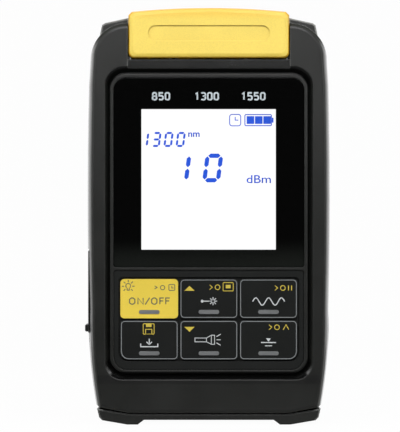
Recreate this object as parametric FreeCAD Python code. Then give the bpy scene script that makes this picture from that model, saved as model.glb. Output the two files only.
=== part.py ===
import FreeCAD, Part
import math
import os

# Pocket optical power meter. It stands on its bottom ridges, front towards -Y, top towards +Z.
# Lengths are in millimetres.
os.makedirs("parts", exist_ok=True)
V = FreeCAD.Vector

# Housing, from front to back
front_y = -15.4
parting_y = -2.0
rear_y = 16.0
front_wall = 2.6
side_wall = 2.0
rear_wall = 2.4
ear_wall = 1.8
shadow_gap = 0.3
corner_run = 1.0
front_flare = 1.4
front_top_flare = 1.4
rear_taper = 0.3
front_edge_radius = 0.8
front_edge_steps = 2
rear_edge_radius = 2.4
rear_edge_steps = 2

# Housing outline, right half as seen from the front
waist_half, waist_z = 35.35, 68.0
hip_half, hip_z, chest_z = 34.95, 33.0, 98.0
calf_half, calf_z = 34.6, 19.0
ankle_half, ankle_z, rear_ankle_half = 32.8, 5.0, 32.1
shoulder_x, shoulder_z, shoulder_radius = 23.8, 105.7, 10.7
neck_inset, neck_z = 0.48, 101.9
front_bottom_z, bottom_flat_half = 3.4, 23.0
slot_half = 23.4
front_sill_z = 105.2
rear_sill_z = 104.6
ear_step_angle = 41.0
ear_half, ear_z = 31.2, 115.9
ear_chamfer_half, ear_chamfer_z, ear_tip_z = 30.3, 116.5, 118.0
foot_inner, foot_flat_inner, foot_flat_outer = 18.7, 20.5, 23.5
foot_rise = 1.35
bumper_half, bumper_z, bumper_edge = 31.4, 2.1, 0.85
bumper_front_y = -14.2
bumper_gap = 0.3

# Display
window_half, window_z0, window_z1 = 27.5, 45.3, 99.9
window_top_radius, window_bottom_radius = 3.6, 0.8
window_thickness, window_sunk, window_fit = 1.2, 0.4, 0.1
window_ledge = 2.4
lcd_half, lcd_z0, lcd_z1, lcd_thickness = 22.4, 48.4, 93.4, 2.0
lcd_gap = 0.4
backlight_thickness, backlight_z0 = 2.4, 50.9
frame_wall, frame_fit, frame_clear = 1.3, 0.2, 0.2
zebra_half, zebra_width = 20.0, 1.6

# Rim and moat round the display and keypad
rim_half, rim_z0, rim_z1, rim_radius, rim_bevel = 28.5, 15.0, 101.1, 4.6, 0.3
moat_half, moat_z0, moat_z1 = 30.0, 12.9, 103.2
moat_top_radius, moat_bottom_radius = 5.8, 5.0
moat_depth, moat_floor = 1.6, 0.3
bar_recess = 0.6

# Keypad
mat_half, mat_z0, mat_z1, mat_bottom_radius, mat_top_radius = 27.4, 15.8, 44.5, 3.8, 0.8
mat_fit, mat_sunk, mat_depth, mat_floor = 0.1, 0.3, 1.6, 0.5
key_width, key_height, key_radius, key_outer_radius = 16.6, 11.3, 1.1, 2.3
key_pitch, key_rows_z = 17.15, (36.3, 24.4)
key_thickness, key_proud, key_travel = 0.7, 0.1, 0.4
field_margin, field_radius = 0.5, 2.6
stem_side, stem_clearance = 3.0, 0.4
pill_width, pill_height, pill_drop, pill_proud, pill_chamfer = 6.05, 1.2, 3.8, 0.12, 0.35
switch_side, switch_height, plunger_side, plunger_proud = 6.0, 3.5, 2.6, 1.1
plunger_fit, plunger_depth = 0.1, 0.5

# Board
board_front_y, board_thickness = -7.6, 1.6
board_clearance, board_z0, board_z1 = 2.95, 13.6, 94.6
board_corner = 4.0
board_screw_inset, board_screw_zs = 2.7, (52.0,)
board_boss_side, pilot_radius, screw_clearance = 4.4, 0.9, 0.05
board_head_radius, board_head_height = 1.8, 1.2
chip_side, chip_height, chip_x, chip_z = 10.0, 1.4, 5.0, 84.0

# Housing screws
screw_x, screw_zs = 27.4, (9.6, 98.4)
post_side, screw_radius, screw_head_radius, screw_head_height = 6.2, 1.2, 2.1, 1.8
counterbore_radius, screw_seat_y, screw_tip_y = 2.3, 5.2, -8.4

# Port panel and ports
cavity_top_z = 101.2
panel_half, panel_y0, panel_y1 = 20.0, -8.5, 7.5
panel_fit, panel_flange, flange_thickness, flange_z = 0.1, 1.0, 1.0, 102.7
panel_top_z, panel_bottom_z = 104.4, 101.4
port_y, port_spacing = 0.5, 13.0
adapter_flange_half, adapter_flange, flange_corner = 4.9, 1.4, 1.6
adapter_radius, adapter_top_z, adapter_bottom_z = 4.0, 113.0, 99.5
port_fit = 0.1
ferrule_radius, sleeve_wall, sleeve_fit = 1.25, 0.4, 0.02
sleeve_bottom_z, sleeve_inset = 101.0, 0.4
detector_radius, detector_height = 2.7, 3.0
laser_radius, laser_height = 3.0, 11.0
bezel_flange_radius, bezel_flange, bezel_radius, bezel_bottom_z = 4.4, 1.0, 3.4, 99.8
lens_radius, lens_seat, lens_dome = 2.47, 1.4, 0.8
led_radius, led_fit, led_bottom_z = 2.45, 0.08, 97.6

# Flip cover
cover_half, cover_bottom_z, cover_crown_z, cover_edge_z = 23.15, 105.6, 120.0, 118.9
cover_chamfer, cover_front_y, cover_rear_y, cover_wall = 1.0, -16.0, 15.5, 1.8
cover_edge_radius, cover_rear_radius, cover_corner_radius, cover_steps = 1.2, 3.0, 1.5, 2
cover_rear_draw = 0.6
hinge_y, hinge_z, barrel_radius = 12.0, 108.5, 3.5
barrel_bore_half = 18.5
pin_radius, pin_fit, pin_press, pin_inner_x, pin_outer_x = 1.0, 0.06, 0.02, 20.4, 28.0
hinge_boss_half = 2.2
recess_half, recess_height, recess_z, recess_depth = 17.45, 4.4, 112.7, 0.35
relief_y, relief_drop = 10.8, 1.8

# Network jack and its flap
jack_z, jack_width, jack_mouth_width = 38.0, 16.0, 11.7
jack_bay_clearance, jack_height = 0.8, 13.5
jack_clearance, mouth_y, mouth_height, jack_back_wall = 0.6, 1.0, 8.0, 2.0
jack_contact_count, jack_contact_pitch, jack_contact_width = 8, 1.02, 0.5
jack_contact_height = 0.9
port_margin = 0.8
flap_y0, flap_y1, flap_z0, flap_z1 = -5.5, 7.5, 26.1, 50.3
flap_thickness, flap_proud, flap_gap = 1.3, 0.15, 0.2
flap_lip_z0, flap_lip_z1, flap_lip_proud = 26.4, 28.5, 1.0
flap_rib_wall, flap_rib_clearance, flap_corner_radius = 1.0, 0.4, 1.2
flap_lip_margin, flap_lip_round = 2.0, 0.3
trunnion_radius, trunnion_length, trunnion_fit = 0.5, 0.9, 0.06

# Batteries
cell_radius, cell_length, cell_pitch, cell_nub_radius, cell_nub = 5.25, 43.7, 10.6, 1.9, 0.8
cell_clearance = 0.3
bay_half, bay_z0, bay_floor_y, bay_wall = 16.6, 22.0, 3.1, 1.2
contact_thickness, contact_height, contact_margin = 0.4, 9.0, 0.6
leaf_height, leaf_reach, leaf_crest, leaf_width = 4.2, 3.6, 0.4, 4.0
door_half, door_margin, door_thickness, door_fit, door_sill = 18.5, 3.0, 1.8, 0.15, 0.6
door_rib_count, door_rib_pitch, door_rib_width, door_rib_depth, door_rib_half = 6, 2.2, 1.1, 0.4, 8.0

# Places that follow from the sizes above
inner_front_y = front_y + front_wall
window_front_y = front_y + window_sunk
window_back_y = window_front_y + window_thickness
lcd_front_y = window_back_y + lcd_gap
lcd_back_y = lcd_front_y + lcd_thickness
backlight_back_y = lcd_back_y + backlight_thickness
mat_front_y = front_y + mat_sunk
shelf_y = front_y + mat_depth
mat_floor_y = shelf_y - mat_floor
key_front_y = front_y - key_proud
key_back_y = key_front_y + key_thickness
board_back_y = board_front_y + board_thickness
switch_front_y = board_front_y - switch_height
plunger_front_y = switch_front_y - plunger_proud
cell_y = bay_floor_y + cell_clearance + cell_radius
door_front_y = rear_y - door_thickness
bay_z1 = bay_z0 + 2 * contact_thickness + leaf_height + cell_length + cell_nub
wall_half, widest_half = min(hip_half, waist_half), max(hip_half, waist_half)
board_half = wall_half - side_wall - board_clearance
board_screw_x = board_half - board_screw_inset
jack_front_x = side_wall + jack_clearance - wall_half
jack_depth = -jack_front_x - bay_half - bay_wall - jack_bay_clearance
mouth_depth = jack_depth - jack_back_wall
flap_outer_x = -wall_half - flap_proud
flap_inner_x = flap_outer_x + flap_thickness
flap_axis_x = flap_outer_x + flap_thickness / 2
flap_axis_z = flap_z1 - flap_thickness / 2


def box(x0, x1, y0, y1, z0, z1):
    return Part.makeBox(x1 - x0, y1 - y0, z1 - z0, V(x0, y0, z0))


def post(x, z, side, y0, y1):
    """A square post along Y, round the point x, z."""
    return box(x - side / 2, x + side / 2, y0, y1, z - side / 2, z + side / 2)


def rod_x(y, z, radius, x0, x1):
    return Part.makeCylinder(radius, x1 - x0, V(x0, y, z), V(1, 0, 0))


def rod_y(x, z, radius, y0, y1):
    return Part.makeCylinder(radius, y1 - y0, V(x, y0, z), V(0, 1, 0))


def rod_z(x, y, radius, z0, z1):
    return Part.makeCylinder(radius, z1 - z0, V(x, y, z0), V(0, 0, 1))


def eight_sided(x, z, radius, y0, y1):
    """An eight-sided bar or hole along Y, whose flats lie a radius from its axis."""
    reach = radius / math.cos(math.pi / 8)
    turns = [math.pi * (2 * side + 1) / 8 for side in range(9)]
    outline = Part.makePolygon([V(x + reach * math.cos(t), y0, z + reach * math.sin(t)) for t in turns])
    return Part.Face(outline).extrude(V(0, y1 - y0, 0))


def rounded_wire(x0, x1, z0, z1, y, bottom_radii, top_radii):
    """A rectangle facing -Y with its own radius at each corner: (left, right), bottom and top."""
    corners = [(x0, z0, 1, 1, bottom_radii[0]), (x1, z0, -1, 1, bottom_radii[1]),
               (x1, z1, -1, -1, top_radii[1]), (x0, z1, 1, -1, top_radii[0])]
    edges, last, first = [], None, None
    for turn, (x, z, sx, sz, r) in enumerate(corners):
        along_x, along_z = V(x + sx * r, y, z), V(x, y, z + sz * r)
        start, end = (along_z, along_x) if turn % 2 == 0 else (along_x, along_z)
        middle = V(x + sx * r * (1 - math.sqrt(0.5)), y, z + sz * r * (1 - math.sqrt(0.5)))
        if last is not None:
            edges.append(Part.LineSegment(last, start).toShape())
        edges.append(Part.Arc(start, middle, end).toShape())
        first = first or start
        last = end
    edges.append(Part.LineSegment(last, first).toShape())
    return Part.Wire(edges)


def rounded_pad(x0, x1, z0, z1, y0, y1, bottom_radii, top_radii):
    face = Part.Face(rounded_wire(x0, x1, z0, z1, y0, bottom_radii, top_radii))
    return face.extrude(V(0, y1 - y0, 0))


def mirrored_wire(y, start, steps):
    """A closed outline at y, given by its right half: lines to (x, z), arcs through a middle point."""
    edges, here = [], start
    for step in steps:
        ends = [V(p[0], y, p[1]) for p in (here,) + step]
        for side in (1, -1):
            points = [V(side * p.x, p.y, p.z) for p in ends]
            curve = Part.LineSegment(*points) if len(points) == 2 else Part.Arc(*points)
            edges.append(curve.toShape())
        here = step[-1]
    return Part.Wire(Part.__sortEdges__(edges))


def side_steps(inset, bottom_z, ankle=ankle_half):
    """The bowed side of the housing, from its ankle to the start of the shoulder."""
    return [((ankle - inset, bottom_z),),
            ((calf_half - inset, calf_z), (hip_half - inset, hip_z)),
            ((waist_half - inset, waist_z), (hip_half - inset, chest_z)),
            ((hip_half - inset - neck_inset / 2, neck_z), (shoulder_x + shoulder_radius - inset, shoulder_z))]


def shoulder_point(inset, angle):
    reach = shoulder_radius - inset
    turn = math.radians(angle)
    return (shoulder_x + reach * math.cos(turn), shoulder_z + reach * math.sin(turn))


def body_outline(y, inset, top_inset, bottom_inset, slot_x, sill_z):
    """The front shell's outline, with a slot between its two shoulders for the cover."""
    base_z = front_bottom_z + bottom_inset
    steps = [((bottom_flat_half, base_z),)]
    steps += side_steps(inset, ankle_z + bottom_inset)
    reach = shoulder_radius - top_inset
    end_x = max(shoulder_x, slot_x)
    end_z = shoulder_z + math.sqrt(reach ** 2 - (end_x - shoulder_x) ** 2)
    middle = (shoulder_x + (shoulder_radius - inset) * math.sqrt(0.5), shoulder_z + reach * math.sqrt(0.5))
    steps.append((middle, (end_x, end_z)))
    if end_x > slot_x:
        steps.append(((slot_x, end_z),))
    steps += [((slot_x, sill_z),), ((0, sill_z),)]
    return mirrored_wire(y, (0, base_z), steps)


def rear_outline(y, inset, top_inset):
    """The rear shell's outline: ridges to stand on, bumper corners, ears higher than the front's."""
    bumper_x = bumper_half - inset
    steps = [((foot_inner, foot_rise),), ((foot_flat_inner, 0),), ((foot_flat_outer, 0),),
             ((bumper_x - bumper_edge, bumper_z - bumper_edge),), ((bumper_x, bumper_z),)]
    steps += side_steps(inset, ankle_z, rear_ankle_half)
    steps.append((shoulder_point(inset, ear_step_angle / 2), shoulder_point(inset, ear_step_angle)))
    steps += [((ear_half - inset, ear_z - top_inset),),
              ((ear_chamfer_half - inset, ear_chamfer_z - top_inset),),
              ((slot_half, ear_tip_z - top_inset),), ((slot_half, rear_sill_z),), ((0, rear_sill_z),)]
    return mirrored_wire(y, (0, foot_rise), steps)


def cavity_outline(y, taper, top_taper):
    """The space inside both shells, a wall smaller than the outline, with straight shoulders."""
    inset, slot_x, base_z = side_wall + taper, slot_half + ear_wall, front_bottom_z + side_wall
    top_z = shoulder_z + shoulder_radius - side_wall - top_taper
    steps = [((bottom_flat_half, base_z),)] + side_steps(inset, ankle_z + side_wall)
    corner_x, corner_z = shoulder_point(side_wall + max(taper, top_taper), 45)
    roof_z = top_z - corner_run
    steps += [((corner_x, corner_z),), ((slot_x + corner_run, roof_z),), ((slot_x, roof_z),),
              ((slot_x, cavity_top_z),), ((0, cavity_top_z),)]
    return mirrored_wire(y, (0, base_z), steps)


def rounded_steps(radius, count):
    """The depth behind a face, and the inset there, of sections that round the face's edge."""
    turns = [math.radians(90 * step / count) for step in range(count + 1)]
    return [(radius * (1 - math.sin(turn)), radius * (1 - math.cos(turn))) for turn in turns]


def key_places():
    for row, z in enumerate(key_rows_z):
        for column in (-1, 0, 1):
            yield row, column, column * key_pitch, z


def both_sides(xs, zs):
    return [(side * xs, z) for side in (-1, 1) for z in zs]


def save(name, shape):
    shape.exportStep("parts/" + name + ".step")


# Front shell: face, bowed and flared sides, moat and rim, window and keypad seats, bosses.
def port_recess():
    """The seat of the flap in the left wall, the way through to the jack, and the trunnion sockets."""
    seat = box(-widest_half - 3, flap_inner_x + flap_gap / 2, flap_y0 - flap_gap, flap_y1 + flap_gap,
               flap_z0 - flap_gap, flap_z1 + flap_gap)
    way = box(flap_outer_x, jack_front_x + 3, mouth_y - mouth_height / 2 - port_margin,
              mouth_y + mouth_height / 2 + port_margin, jack_z - jack_mouth_width / 2 - port_margin,
              jack_z + jack_mouth_width / 2 + port_margin)
    sockets = Part.makeCylinder(trunnion_radius + trunnion_fit,
                                flap_y1 - flap_y0 + 2 * (trunnion_length + flap_gap),
                                V(flap_axis_x, flap_y0 - trunnion_length - flap_gap, flap_axis_z), V(0, 1, 0))
    return seat.multiFuse([way, sockets])


def panel_opening():
    """The opening for the port panel, with the groove that both shells close round its flange."""
    hole = box(-panel_half, panel_half, panel_y0, panel_y1, cavity_top_z - 1, front_sill_z + 1)
    reach = panel_flange + panel_fit
    half = flange_thickness / 2 + panel_fit
    groove = box(-panel_half - reach, panel_half + reach, panel_y0 - reach, panel_y1 + reach,
                 flange_z - half, flange_z + half)
    return hole.fuse(groove)


def rim_wire(margin, y):
    """The rim's outline, larger by a margin all round."""
    return rounded_wire(-rim_half - margin, rim_half + margin, rim_z0 - margin, rim_z1 + margin, y,
                        (rim_radius + margin,) * 2, (rim_radius + margin,) * 2)


def make_front_shell():
    sections = [body_outline(parting_y, 0, 0, 0, slot_half, front_sill_z)]
    for depth, inset in rounded_steps(front_edge_radius, front_edge_steps):
        sections.append(body_outline(front_y + depth, front_flare + inset, front_top_flare + inset, inset,
                                     slot_half, front_sill_z))
    shell = Part.makeLoft(sections, True, True)
    share = (parting_y - inner_front_y) / (parting_y - front_y)
    shell = shell.cut(Part.makeLoft([cavity_outline(parting_y, 0, 0),
                                     cavity_outline(inner_front_y, front_flare * share,
                                                    front_top_flare * share)], True, True))
    # The moat's outer side slopes down to the foot of the rim, whose front edge is bevelled.
    moat = Part.makeLoft([rounded_wire(-moat_half, moat_half, moat_z0, moat_z1, front_y - 0.01,
                                       (moat_bottom_radius,) * 2, (moat_top_radius,) * 2),
                          rim_wire(moat_floor, front_y + moat_depth)], True, True)
    island = Part.makeLoft([rim_wire(-rim_bevel, front_y - 0.02), rim_wire(0, front_y + rim_bevel),
                            rim_wire(0, front_y + moat_depth + 1)], True, True)
    shell = shell.cut(moat.cut(island))
    bar = box(-slot_half, slot_half, front_y - 1, front_y + bar_recess, rim_z1 + moat_floor, front_sill_z + 1)
    seat = rounded_pad(-window_half, window_half, window_z0, window_z1, front_y - 1, window_back_y,
                       (window_bottom_radius,) * 2, (window_top_radius,) * 2)
    view = rounded_pad(-window_half + window_ledge, window_half - window_ledge, window_z0 + window_ledge,
                       window_z1 - window_ledge, window_back_y - 1, inner_front_y + 1, (1, 1), (1, 1))
    pocket = rounded_pad(-mat_half, mat_half, mat_z0, mat_z1, front_y - 1, shelf_y,
                         (mat_bottom_radius,) * 2, (mat_top_radius,) * 2)
    stems = [post(x, z, stem_side + 2 * stem_clearance, shelf_y - 1, inner_front_y + 1)
             for _, _, x, z in key_places()]
    shell = shell.cut(seat.multiFuse([bar, view, pocket] + stems))
    bosses = [post(x, z, board_boss_side, inner_front_y - 0.5, board_front_y)
              for x, z in both_sides(board_screw_x, board_screw_zs)]
    bosses += [post(x, z, post_side, inner_front_y - 0.5, parting_y)
               for x, z in both_sides(screw_x, screw_zs)]
    shell = shell.multiFuse(bosses)
    pilots = [eight_sided(x, z, pilot_radius + screw_clearance, inner_front_y, board_front_y)
              for x, z in both_sides(board_screw_x, board_screw_zs)]
    pilots += [eight_sided(x, z, screw_radius + screw_clearance, screw_tip_y - 1, parting_y)
               for x, z in both_sides(screw_x, screw_zs)]
    return shell.cut(pilots[0].multiFuse(pilots[1:] + [port_recess(), panel_opening()]))


# Rear shell: ears with the hinge bosses, bumper, battery bay, screw posts.
def bay_box(margin, y0, y1):
    return box(-bay_half - margin, bay_half + margin, y0, y1, bay_z0 - margin, bay_z1 + margin)


def door_pad(gap, y0, y1):
    return rounded_pad(-door_half - gap, door_half + gap, bay_z0 - door_margin - gap,
                       bay_z1 + door_margin + gap, y0, y1, (1.5, 1.5), (1.5, 1.5))


def make_rear_shell():
    split_y = parting_y + shadow_gap
    lead = rear_taper * (split_y - bumper_front_y) / (rear_y - split_y)
    sections = [rear_outline(bumper_front_y, -lead, -lead)]
    for depth, inset in rounded_steps(rear_edge_radius, rear_edge_steps):
        sections.append(rear_outline(rear_y - depth, rear_taper + inset, rear_taper + inset))
    shell = Part.makeLoft(sections, True, True)
    # In front of the parting line only the bumper under the front shell is left.
    top_z, reach = ear_tip_z + 3, widest_half + 3
    above = mirrored_wire(bumper_front_y - 1, (0, top_z), [
        ((reach, top_z),), ((reach, ankle_z - bumper_gap),), ((ankle_half, ankle_z - bumper_gap),),
        ((bottom_flat_half, front_bottom_z - bumper_gap),), ((0, front_bottom_z - bumper_gap),)])
    shell = shell.cut(Part.Face(above).extrude(V(0, split_y - bumper_front_y + 1, 0)))
    step = Part.Face(body_outline(parting_y, shadow_gap, shadow_gap, 0, slot_half, rear_sill_z))
    shell = shell.fuse(step.extrude(V(0, shadow_gap + 0.5, 0)))
    inner_rear_y = rear_y - rear_wall
    share = (inner_rear_y - parting_y) / (rear_y - parting_y)
    shell = shell.cut(Part.makeLoft([cavity_outline(parting_y, 0, 0),
                                     cavity_outline(inner_rear_y, rear_taper * share, rear_taper * share)],
                                    True, True))
    added = [bay_box(bay_wall, bay_floor_y - bay_wall, inner_rear_y + 0.5)]
    added += [post(x, z, post_side, parting_y, inner_rear_y + 0.5)
              for x, z in both_sides(screw_x, screw_zs)]
    added += [box(x0, x1, hinge_y - hinge_boss_half, hinge_y + hinge_boss_half, hinge_z - hinge_boss_half,
                  hinge_z + hinge_boss_half)
              for x0, x1 in ((slot_half + 0.5, pin_outer_x + 0.8), (-pin_outer_x - 0.8, -slot_half - 0.5))]
    added += [door_pad(1.0, door_front_y - door_sill, inner_rear_y + 0.5)]
    shell = shell.multiFuse(added)
    cuts = [bay_box(0, bay_floor_y, rear_y + 1), door_pad(door_fit, door_front_y, rear_y + 1),
            port_recess(), panel_opening()]
    cuts += [rod_y(x, z, counterbore_radius, screw_seat_y, rear_y + 1)
             for x, z in both_sides(screw_x, screw_zs)]
    cuts += [eight_sided(x, z, screw_radius + screw_clearance, parting_y - 1, rear_y)
             for x, z in both_sides(screw_x, screw_zs)]
    cuts += [rod_x(hinge_y, hinge_z, pin_radius + pin_press, x0, x1)
             for x0, x1 in ((slot_half - 1, pin_outer_x), (-pin_outer_x, -slot_half + 1))]
    slope = relief_drop / (rear_y - relief_y)
    relief = Part.makePolygon([V(-slot_half, relief_y, rear_sill_z),
                               V(-slot_half, rear_y + 1, rear_sill_z - slope * (rear_y + 1 - relief_y)),
                               V(-slot_half, rear_y + 1, rear_sill_z + 1),
                               V(-slot_half, relief_y, rear_sill_z + 1),
                               V(-slot_half, relief_y, rear_sill_z)])
    cuts.append(Part.Face(relief).extrude(V(2 * slot_half, 0, 0)))
    return shell.cut(cuts[0].multiFuse(cuts[1:]))


# Display: window, glass, backlight, contact strip and the frame that holds them on the board.
def make_display():
    save("display_window", rounded_pad(-window_half + window_fit, window_half - window_fit,
                                       window_z0 + window_fit, window_z1 - window_fit, window_front_y,
                                       window_back_y, (window_bottom_radius - window_fit,) * 2,
                                       (window_top_radius - window_fit,) * 2))
    save("lcd_glass", box(-lcd_half, lcd_half, lcd_front_y, lcd_back_y, lcd_z0, lcd_z1))
    save("backlight_panel", box(-lcd_half, lcd_half, lcd_back_y, backlight_back_y, backlight_z0, lcd_z1))
    strip_z = (lcd_z0 + backlight_z0 - zebra_width) / 2
    save("zebra_strip",
         box(-zebra_half, zebra_half, lcd_back_y, board_front_y, strip_z, strip_z + zebra_width))
    reach = frame_fit + frame_wall
    frame = box(-lcd_half - reach, lcd_half + reach, inner_front_y + frame_clear, board_front_y,
                lcd_z0 - reach, lcd_z1 + reach)
    frame = frame.cut(box(-lcd_half - frame_fit, lcd_half + frame_fit, inner_front_y, backlight_back_y,
                          lcd_z0 - frame_fit, lcd_z1 + frame_fit))
    frame = frame.cut(box(-zebra_half - frame_fit, zebra_half + frame_fit, inner_front_y, board_front_y + 1,
                          strip_z - frame_fit, strip_z + zebra_width + frame_fit))
    save("lcd_frame", frame)


# Keypad: mat, six caps with their stems, and a tact switch on the board behind each.
key_names = (("key_on_off", "key_fault_laser", "key_wavelength"), ("key_save", "key_torch", "key_reference"))


def make_keypad():
    inner = mat_fit
    mat = rounded_pad(-mat_half + inner, mat_half - inner, mat_z0 + inner, mat_z1 - inner, mat_front_y,
                      shelf_y, (mat_bottom_radius - inner,) * 2, (mat_top_radius - inner,) * 2)
    field_x = key_pitch + key_width / 2 + field_margin
    reach_z = key_height / 2 + field_margin
    cuts = [rounded_pad(-field_x, field_x, key_rows_z[1] - reach_z, key_rows_z[0] + reach_z, mat_front_y - 1,
                        mat_floor_y, (field_radius,) * 2, (key_radius,) * 2)]
    for row, column, x, z in key_places():
        cuts.append(post(x, z, stem_side + 2 * stem_clearance, mat_floor_y - 1, shelf_y + 1))
        name = key_names[row][column + 1]
        save(name, make_key(row, column, x, z))
        plunger_end_y = switch_front_y + plunger_depth
        save("plunger_" + name[4:], post(x, z, plunger_side, plunger_front_y, plunger_end_y))
        body = post(x, z, switch_side, switch_front_y, board_front_y)
        well = post(x, z, plunger_side + 2 * plunger_fit, switch_front_y - 1,
                    plunger_end_y + key_travel + plunger_fit)
        save("switch_" + name[4:], body.cut(well))
    save("keypad_mat", mat.cut(cuts[0].multiFuse(cuts[1:])))


def make_key(row, column, x, z):
    """A cap with a raised bar low on its face, and a post down to its switch."""
    half, tall = key_width / 2, key_height / 2
    left = key_outer_radius if (row, column) == (1, -1) else key_radius
    right = key_outer_radius if (row, column) == (1, 1) else key_radius
    cap = rounded_pad(x - half, x + half, z - tall, z + tall, key_front_y, key_back_y, (left, right),
                      (key_radius,) * 2)
    pill_z = z - pill_drop
    pill = box(x - pill_width / 2, x + pill_width / 2, key_front_y - pill_proud, key_back_y,
               pill_z - pill_height / 2, pill_z + pill_height / 2)
    pill = pill.makeChamfer(pill_chamfer, [e for e in pill.Edges if e.BoundBox.YLength > pill_proud])
    return cap.multiFuse([pill, post(x, z, stem_side, key_back_y - 0.1, plunger_front_y)])


# Board, chip and the screws.
def make_board():
    board = box(-board_half, board_half, board_front_y, board_back_y, board_z0, board_z1)
    board = board.makeChamfer(board_corner,
                              [e for e in board.Edges if e.BoundBox.YLength > board_thickness / 2])
    holes = [eight_sided(x, z, pilot_radius + 2 * screw_clearance, board_front_y - 1, board_back_y + 1)
             for x, z in both_sides(board_screw_x, board_screw_zs)]
    save("main_board", board.cut(holes[0].multiFuse(holes[1:])))
    half = chip_side / 2
    save("processor_chip", box(chip_x - half, chip_x + half, board_back_y, board_back_y + chip_height,
                               chip_z - half, chip_z + half))


def screw(x, z, radius, tip_y, seat_y, head_radius, head_height):
    head = rod_y(x, z, head_radius, seat_y, seat_y + head_height)
    arm, slit, floor_y = head_radius * 0.6, head_radius * 0.16, seat_y + head_height * 0.5
    cross = box(x - arm, x + arm, floor_y, seat_y + head_height + 1, z - slit, z + slit)
    cross = cross.fuse(box(x - slit, x + slit, floor_y, seat_y + head_height + 1, z - arm, z + arm))
    shank = eight_sided(x, z, radius * math.cos(math.pi / 8), tip_y, seat_y + head_height / 4)
    return head.fuse(shank).cut(cross)


def make_screws():
    long_ones = [screw(x, z, screw_radius, screw_tip_y, screw_seat_y, screw_head_radius, screw_head_height)
                 for x, z in both_sides(screw_x, screw_zs)]
    short_ones = [screw(x, z, pilot_radius, inner_front_y + 1, board_back_y, board_head_radius,
                        board_head_height)
                  for x, z in both_sides(board_screw_x, board_screw_zs)]
    save("housing_screws", Part.makeCompound(long_ones))
    save("board_screws", Part.makeCompound(short_ones))


# Ports under the cover: panel, two ferrule adapters, torch.
def make_adapter(x):
    body = rod_z(x, port_y, adapter_radius, adapter_bottom_z, adapter_top_z)
    half = adapter_flange_half
    flange = box(x - half, x + half, port_y - half, port_y + half, panel_top_z, panel_top_z + adapter_flange)
    body = body.fuse(flange.makeChamfer(flange_corner, [e for e in flange.Edges if e.BoundBox.ZLength > 1]))
    return body.cut(rod_z(x, port_y, ferrule_radius + sleeve_wall + sleeve_fit, sleeve_bottom_z,
                          adapter_top_z + 1))


def make_sleeve(x):
    sleeve = rod_z(x, port_y, ferrule_radius + sleeve_wall, sleeve_bottom_z, adapter_top_z - sleeve_inset)
    return sleeve.cut(rod_z(x, port_y, ferrule_radius, sleeve_bottom_z - 1, adapter_top_z + 1))


def make_ports():
    panel = box(-panel_half + panel_fit, panel_half - panel_fit, panel_y0 + panel_fit, panel_y1 - panel_fit,
                panel_bottom_z, panel_top_z)
    half = flange_thickness / 2
    panel = panel.fuse(box(-panel_half - panel_flange, panel_half + panel_flange, panel_y0 - panel_flange,
                           panel_y1 + panel_flange, flange_z - half, flange_z + half))
    for x, radius in ((-port_spacing, adapter_radius), (0, bezel_radius), (port_spacing, adapter_radius)):
        panel = panel.cut(rod_z(x, port_y, radius + port_fit, panel_bottom_z - 1, panel_top_z + 1))
    save("port_panel", panel)
    save("detector_adapter", make_adapter(-port_spacing))
    save("detector_sleeve", make_sleeve(-port_spacing))
    save("laser_adapter", make_adapter(port_spacing))
    save("laser_sleeve", make_sleeve(port_spacing))
    save("detector_can", rod_z(-port_spacing, port_y, detector_radius, adapter_bottom_z - detector_height,
                               adapter_bottom_z))
    save("laser_module", rod_z(port_spacing, port_y, laser_radius, adapter_bottom_z - laser_height,
                               adapter_bottom_z))
    flange_top = panel_top_z + bezel_flange
    bezel = rod_z(0, port_y, bezel_radius, bezel_bottom_z, panel_top_z).fuse(
        rod_z(0, port_y, bezel_flange_radius, panel_top_z, flange_top))
    bezel = bezel.cut(rod_z(0, port_y, led_radius + led_fit, bezel_bottom_z - 1, flange_top + 1))
    save("torch_bezel", bezel)
    dome = Part.makeCone(lens_radius, lens_radius * 0.45, lens_dome, V(0, port_y, flange_top), V(0, 0, 1))
    save("torch_lens", rod_z(0, port_y, lens_radius, flange_top - lens_seat, flange_top).fuse(dome))
    led_top = flange_top - lens_seat - 0.3
    tip = Part.makeCone(led_radius, led_radius * 0.4, led_radius, V(0, port_y, led_top - led_radius),
                        V(0, 0, 1))
    save("torch_led", rod_z(0, port_y, led_radius, led_bottom_z, led_top - led_radius).fuse(tip))


# Flip cover: a crowned hollow cap on two pins.
def cover_outline(y, inset, top_inset, bottom_inset, corner):
    """The cap from the front: crowned top, chamfered top corners, and a small round at the lower corners."""
    half, edge_z, low_z = cover_half - inset, cover_edge_z - top_inset, cover_bottom_z + bottom_inset
    bend = corner * (1 - math.sqrt(0.5))
    crown_rise = (cover_crown_z - cover_edge_z) * 0.75
    return mirrored_wire(y, (0, low_z), [
        ((half - corner, low_z),), ((half - bend, low_z + bend), (half, low_z + corner)),
        ((half, edge_z - cover_chamfer),), ((half - cover_chamfer, edge_z),),
        (((half - cover_chamfer) * 0.5, edge_z + crown_rise), (0, cover_crown_z - top_inset))])


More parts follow.
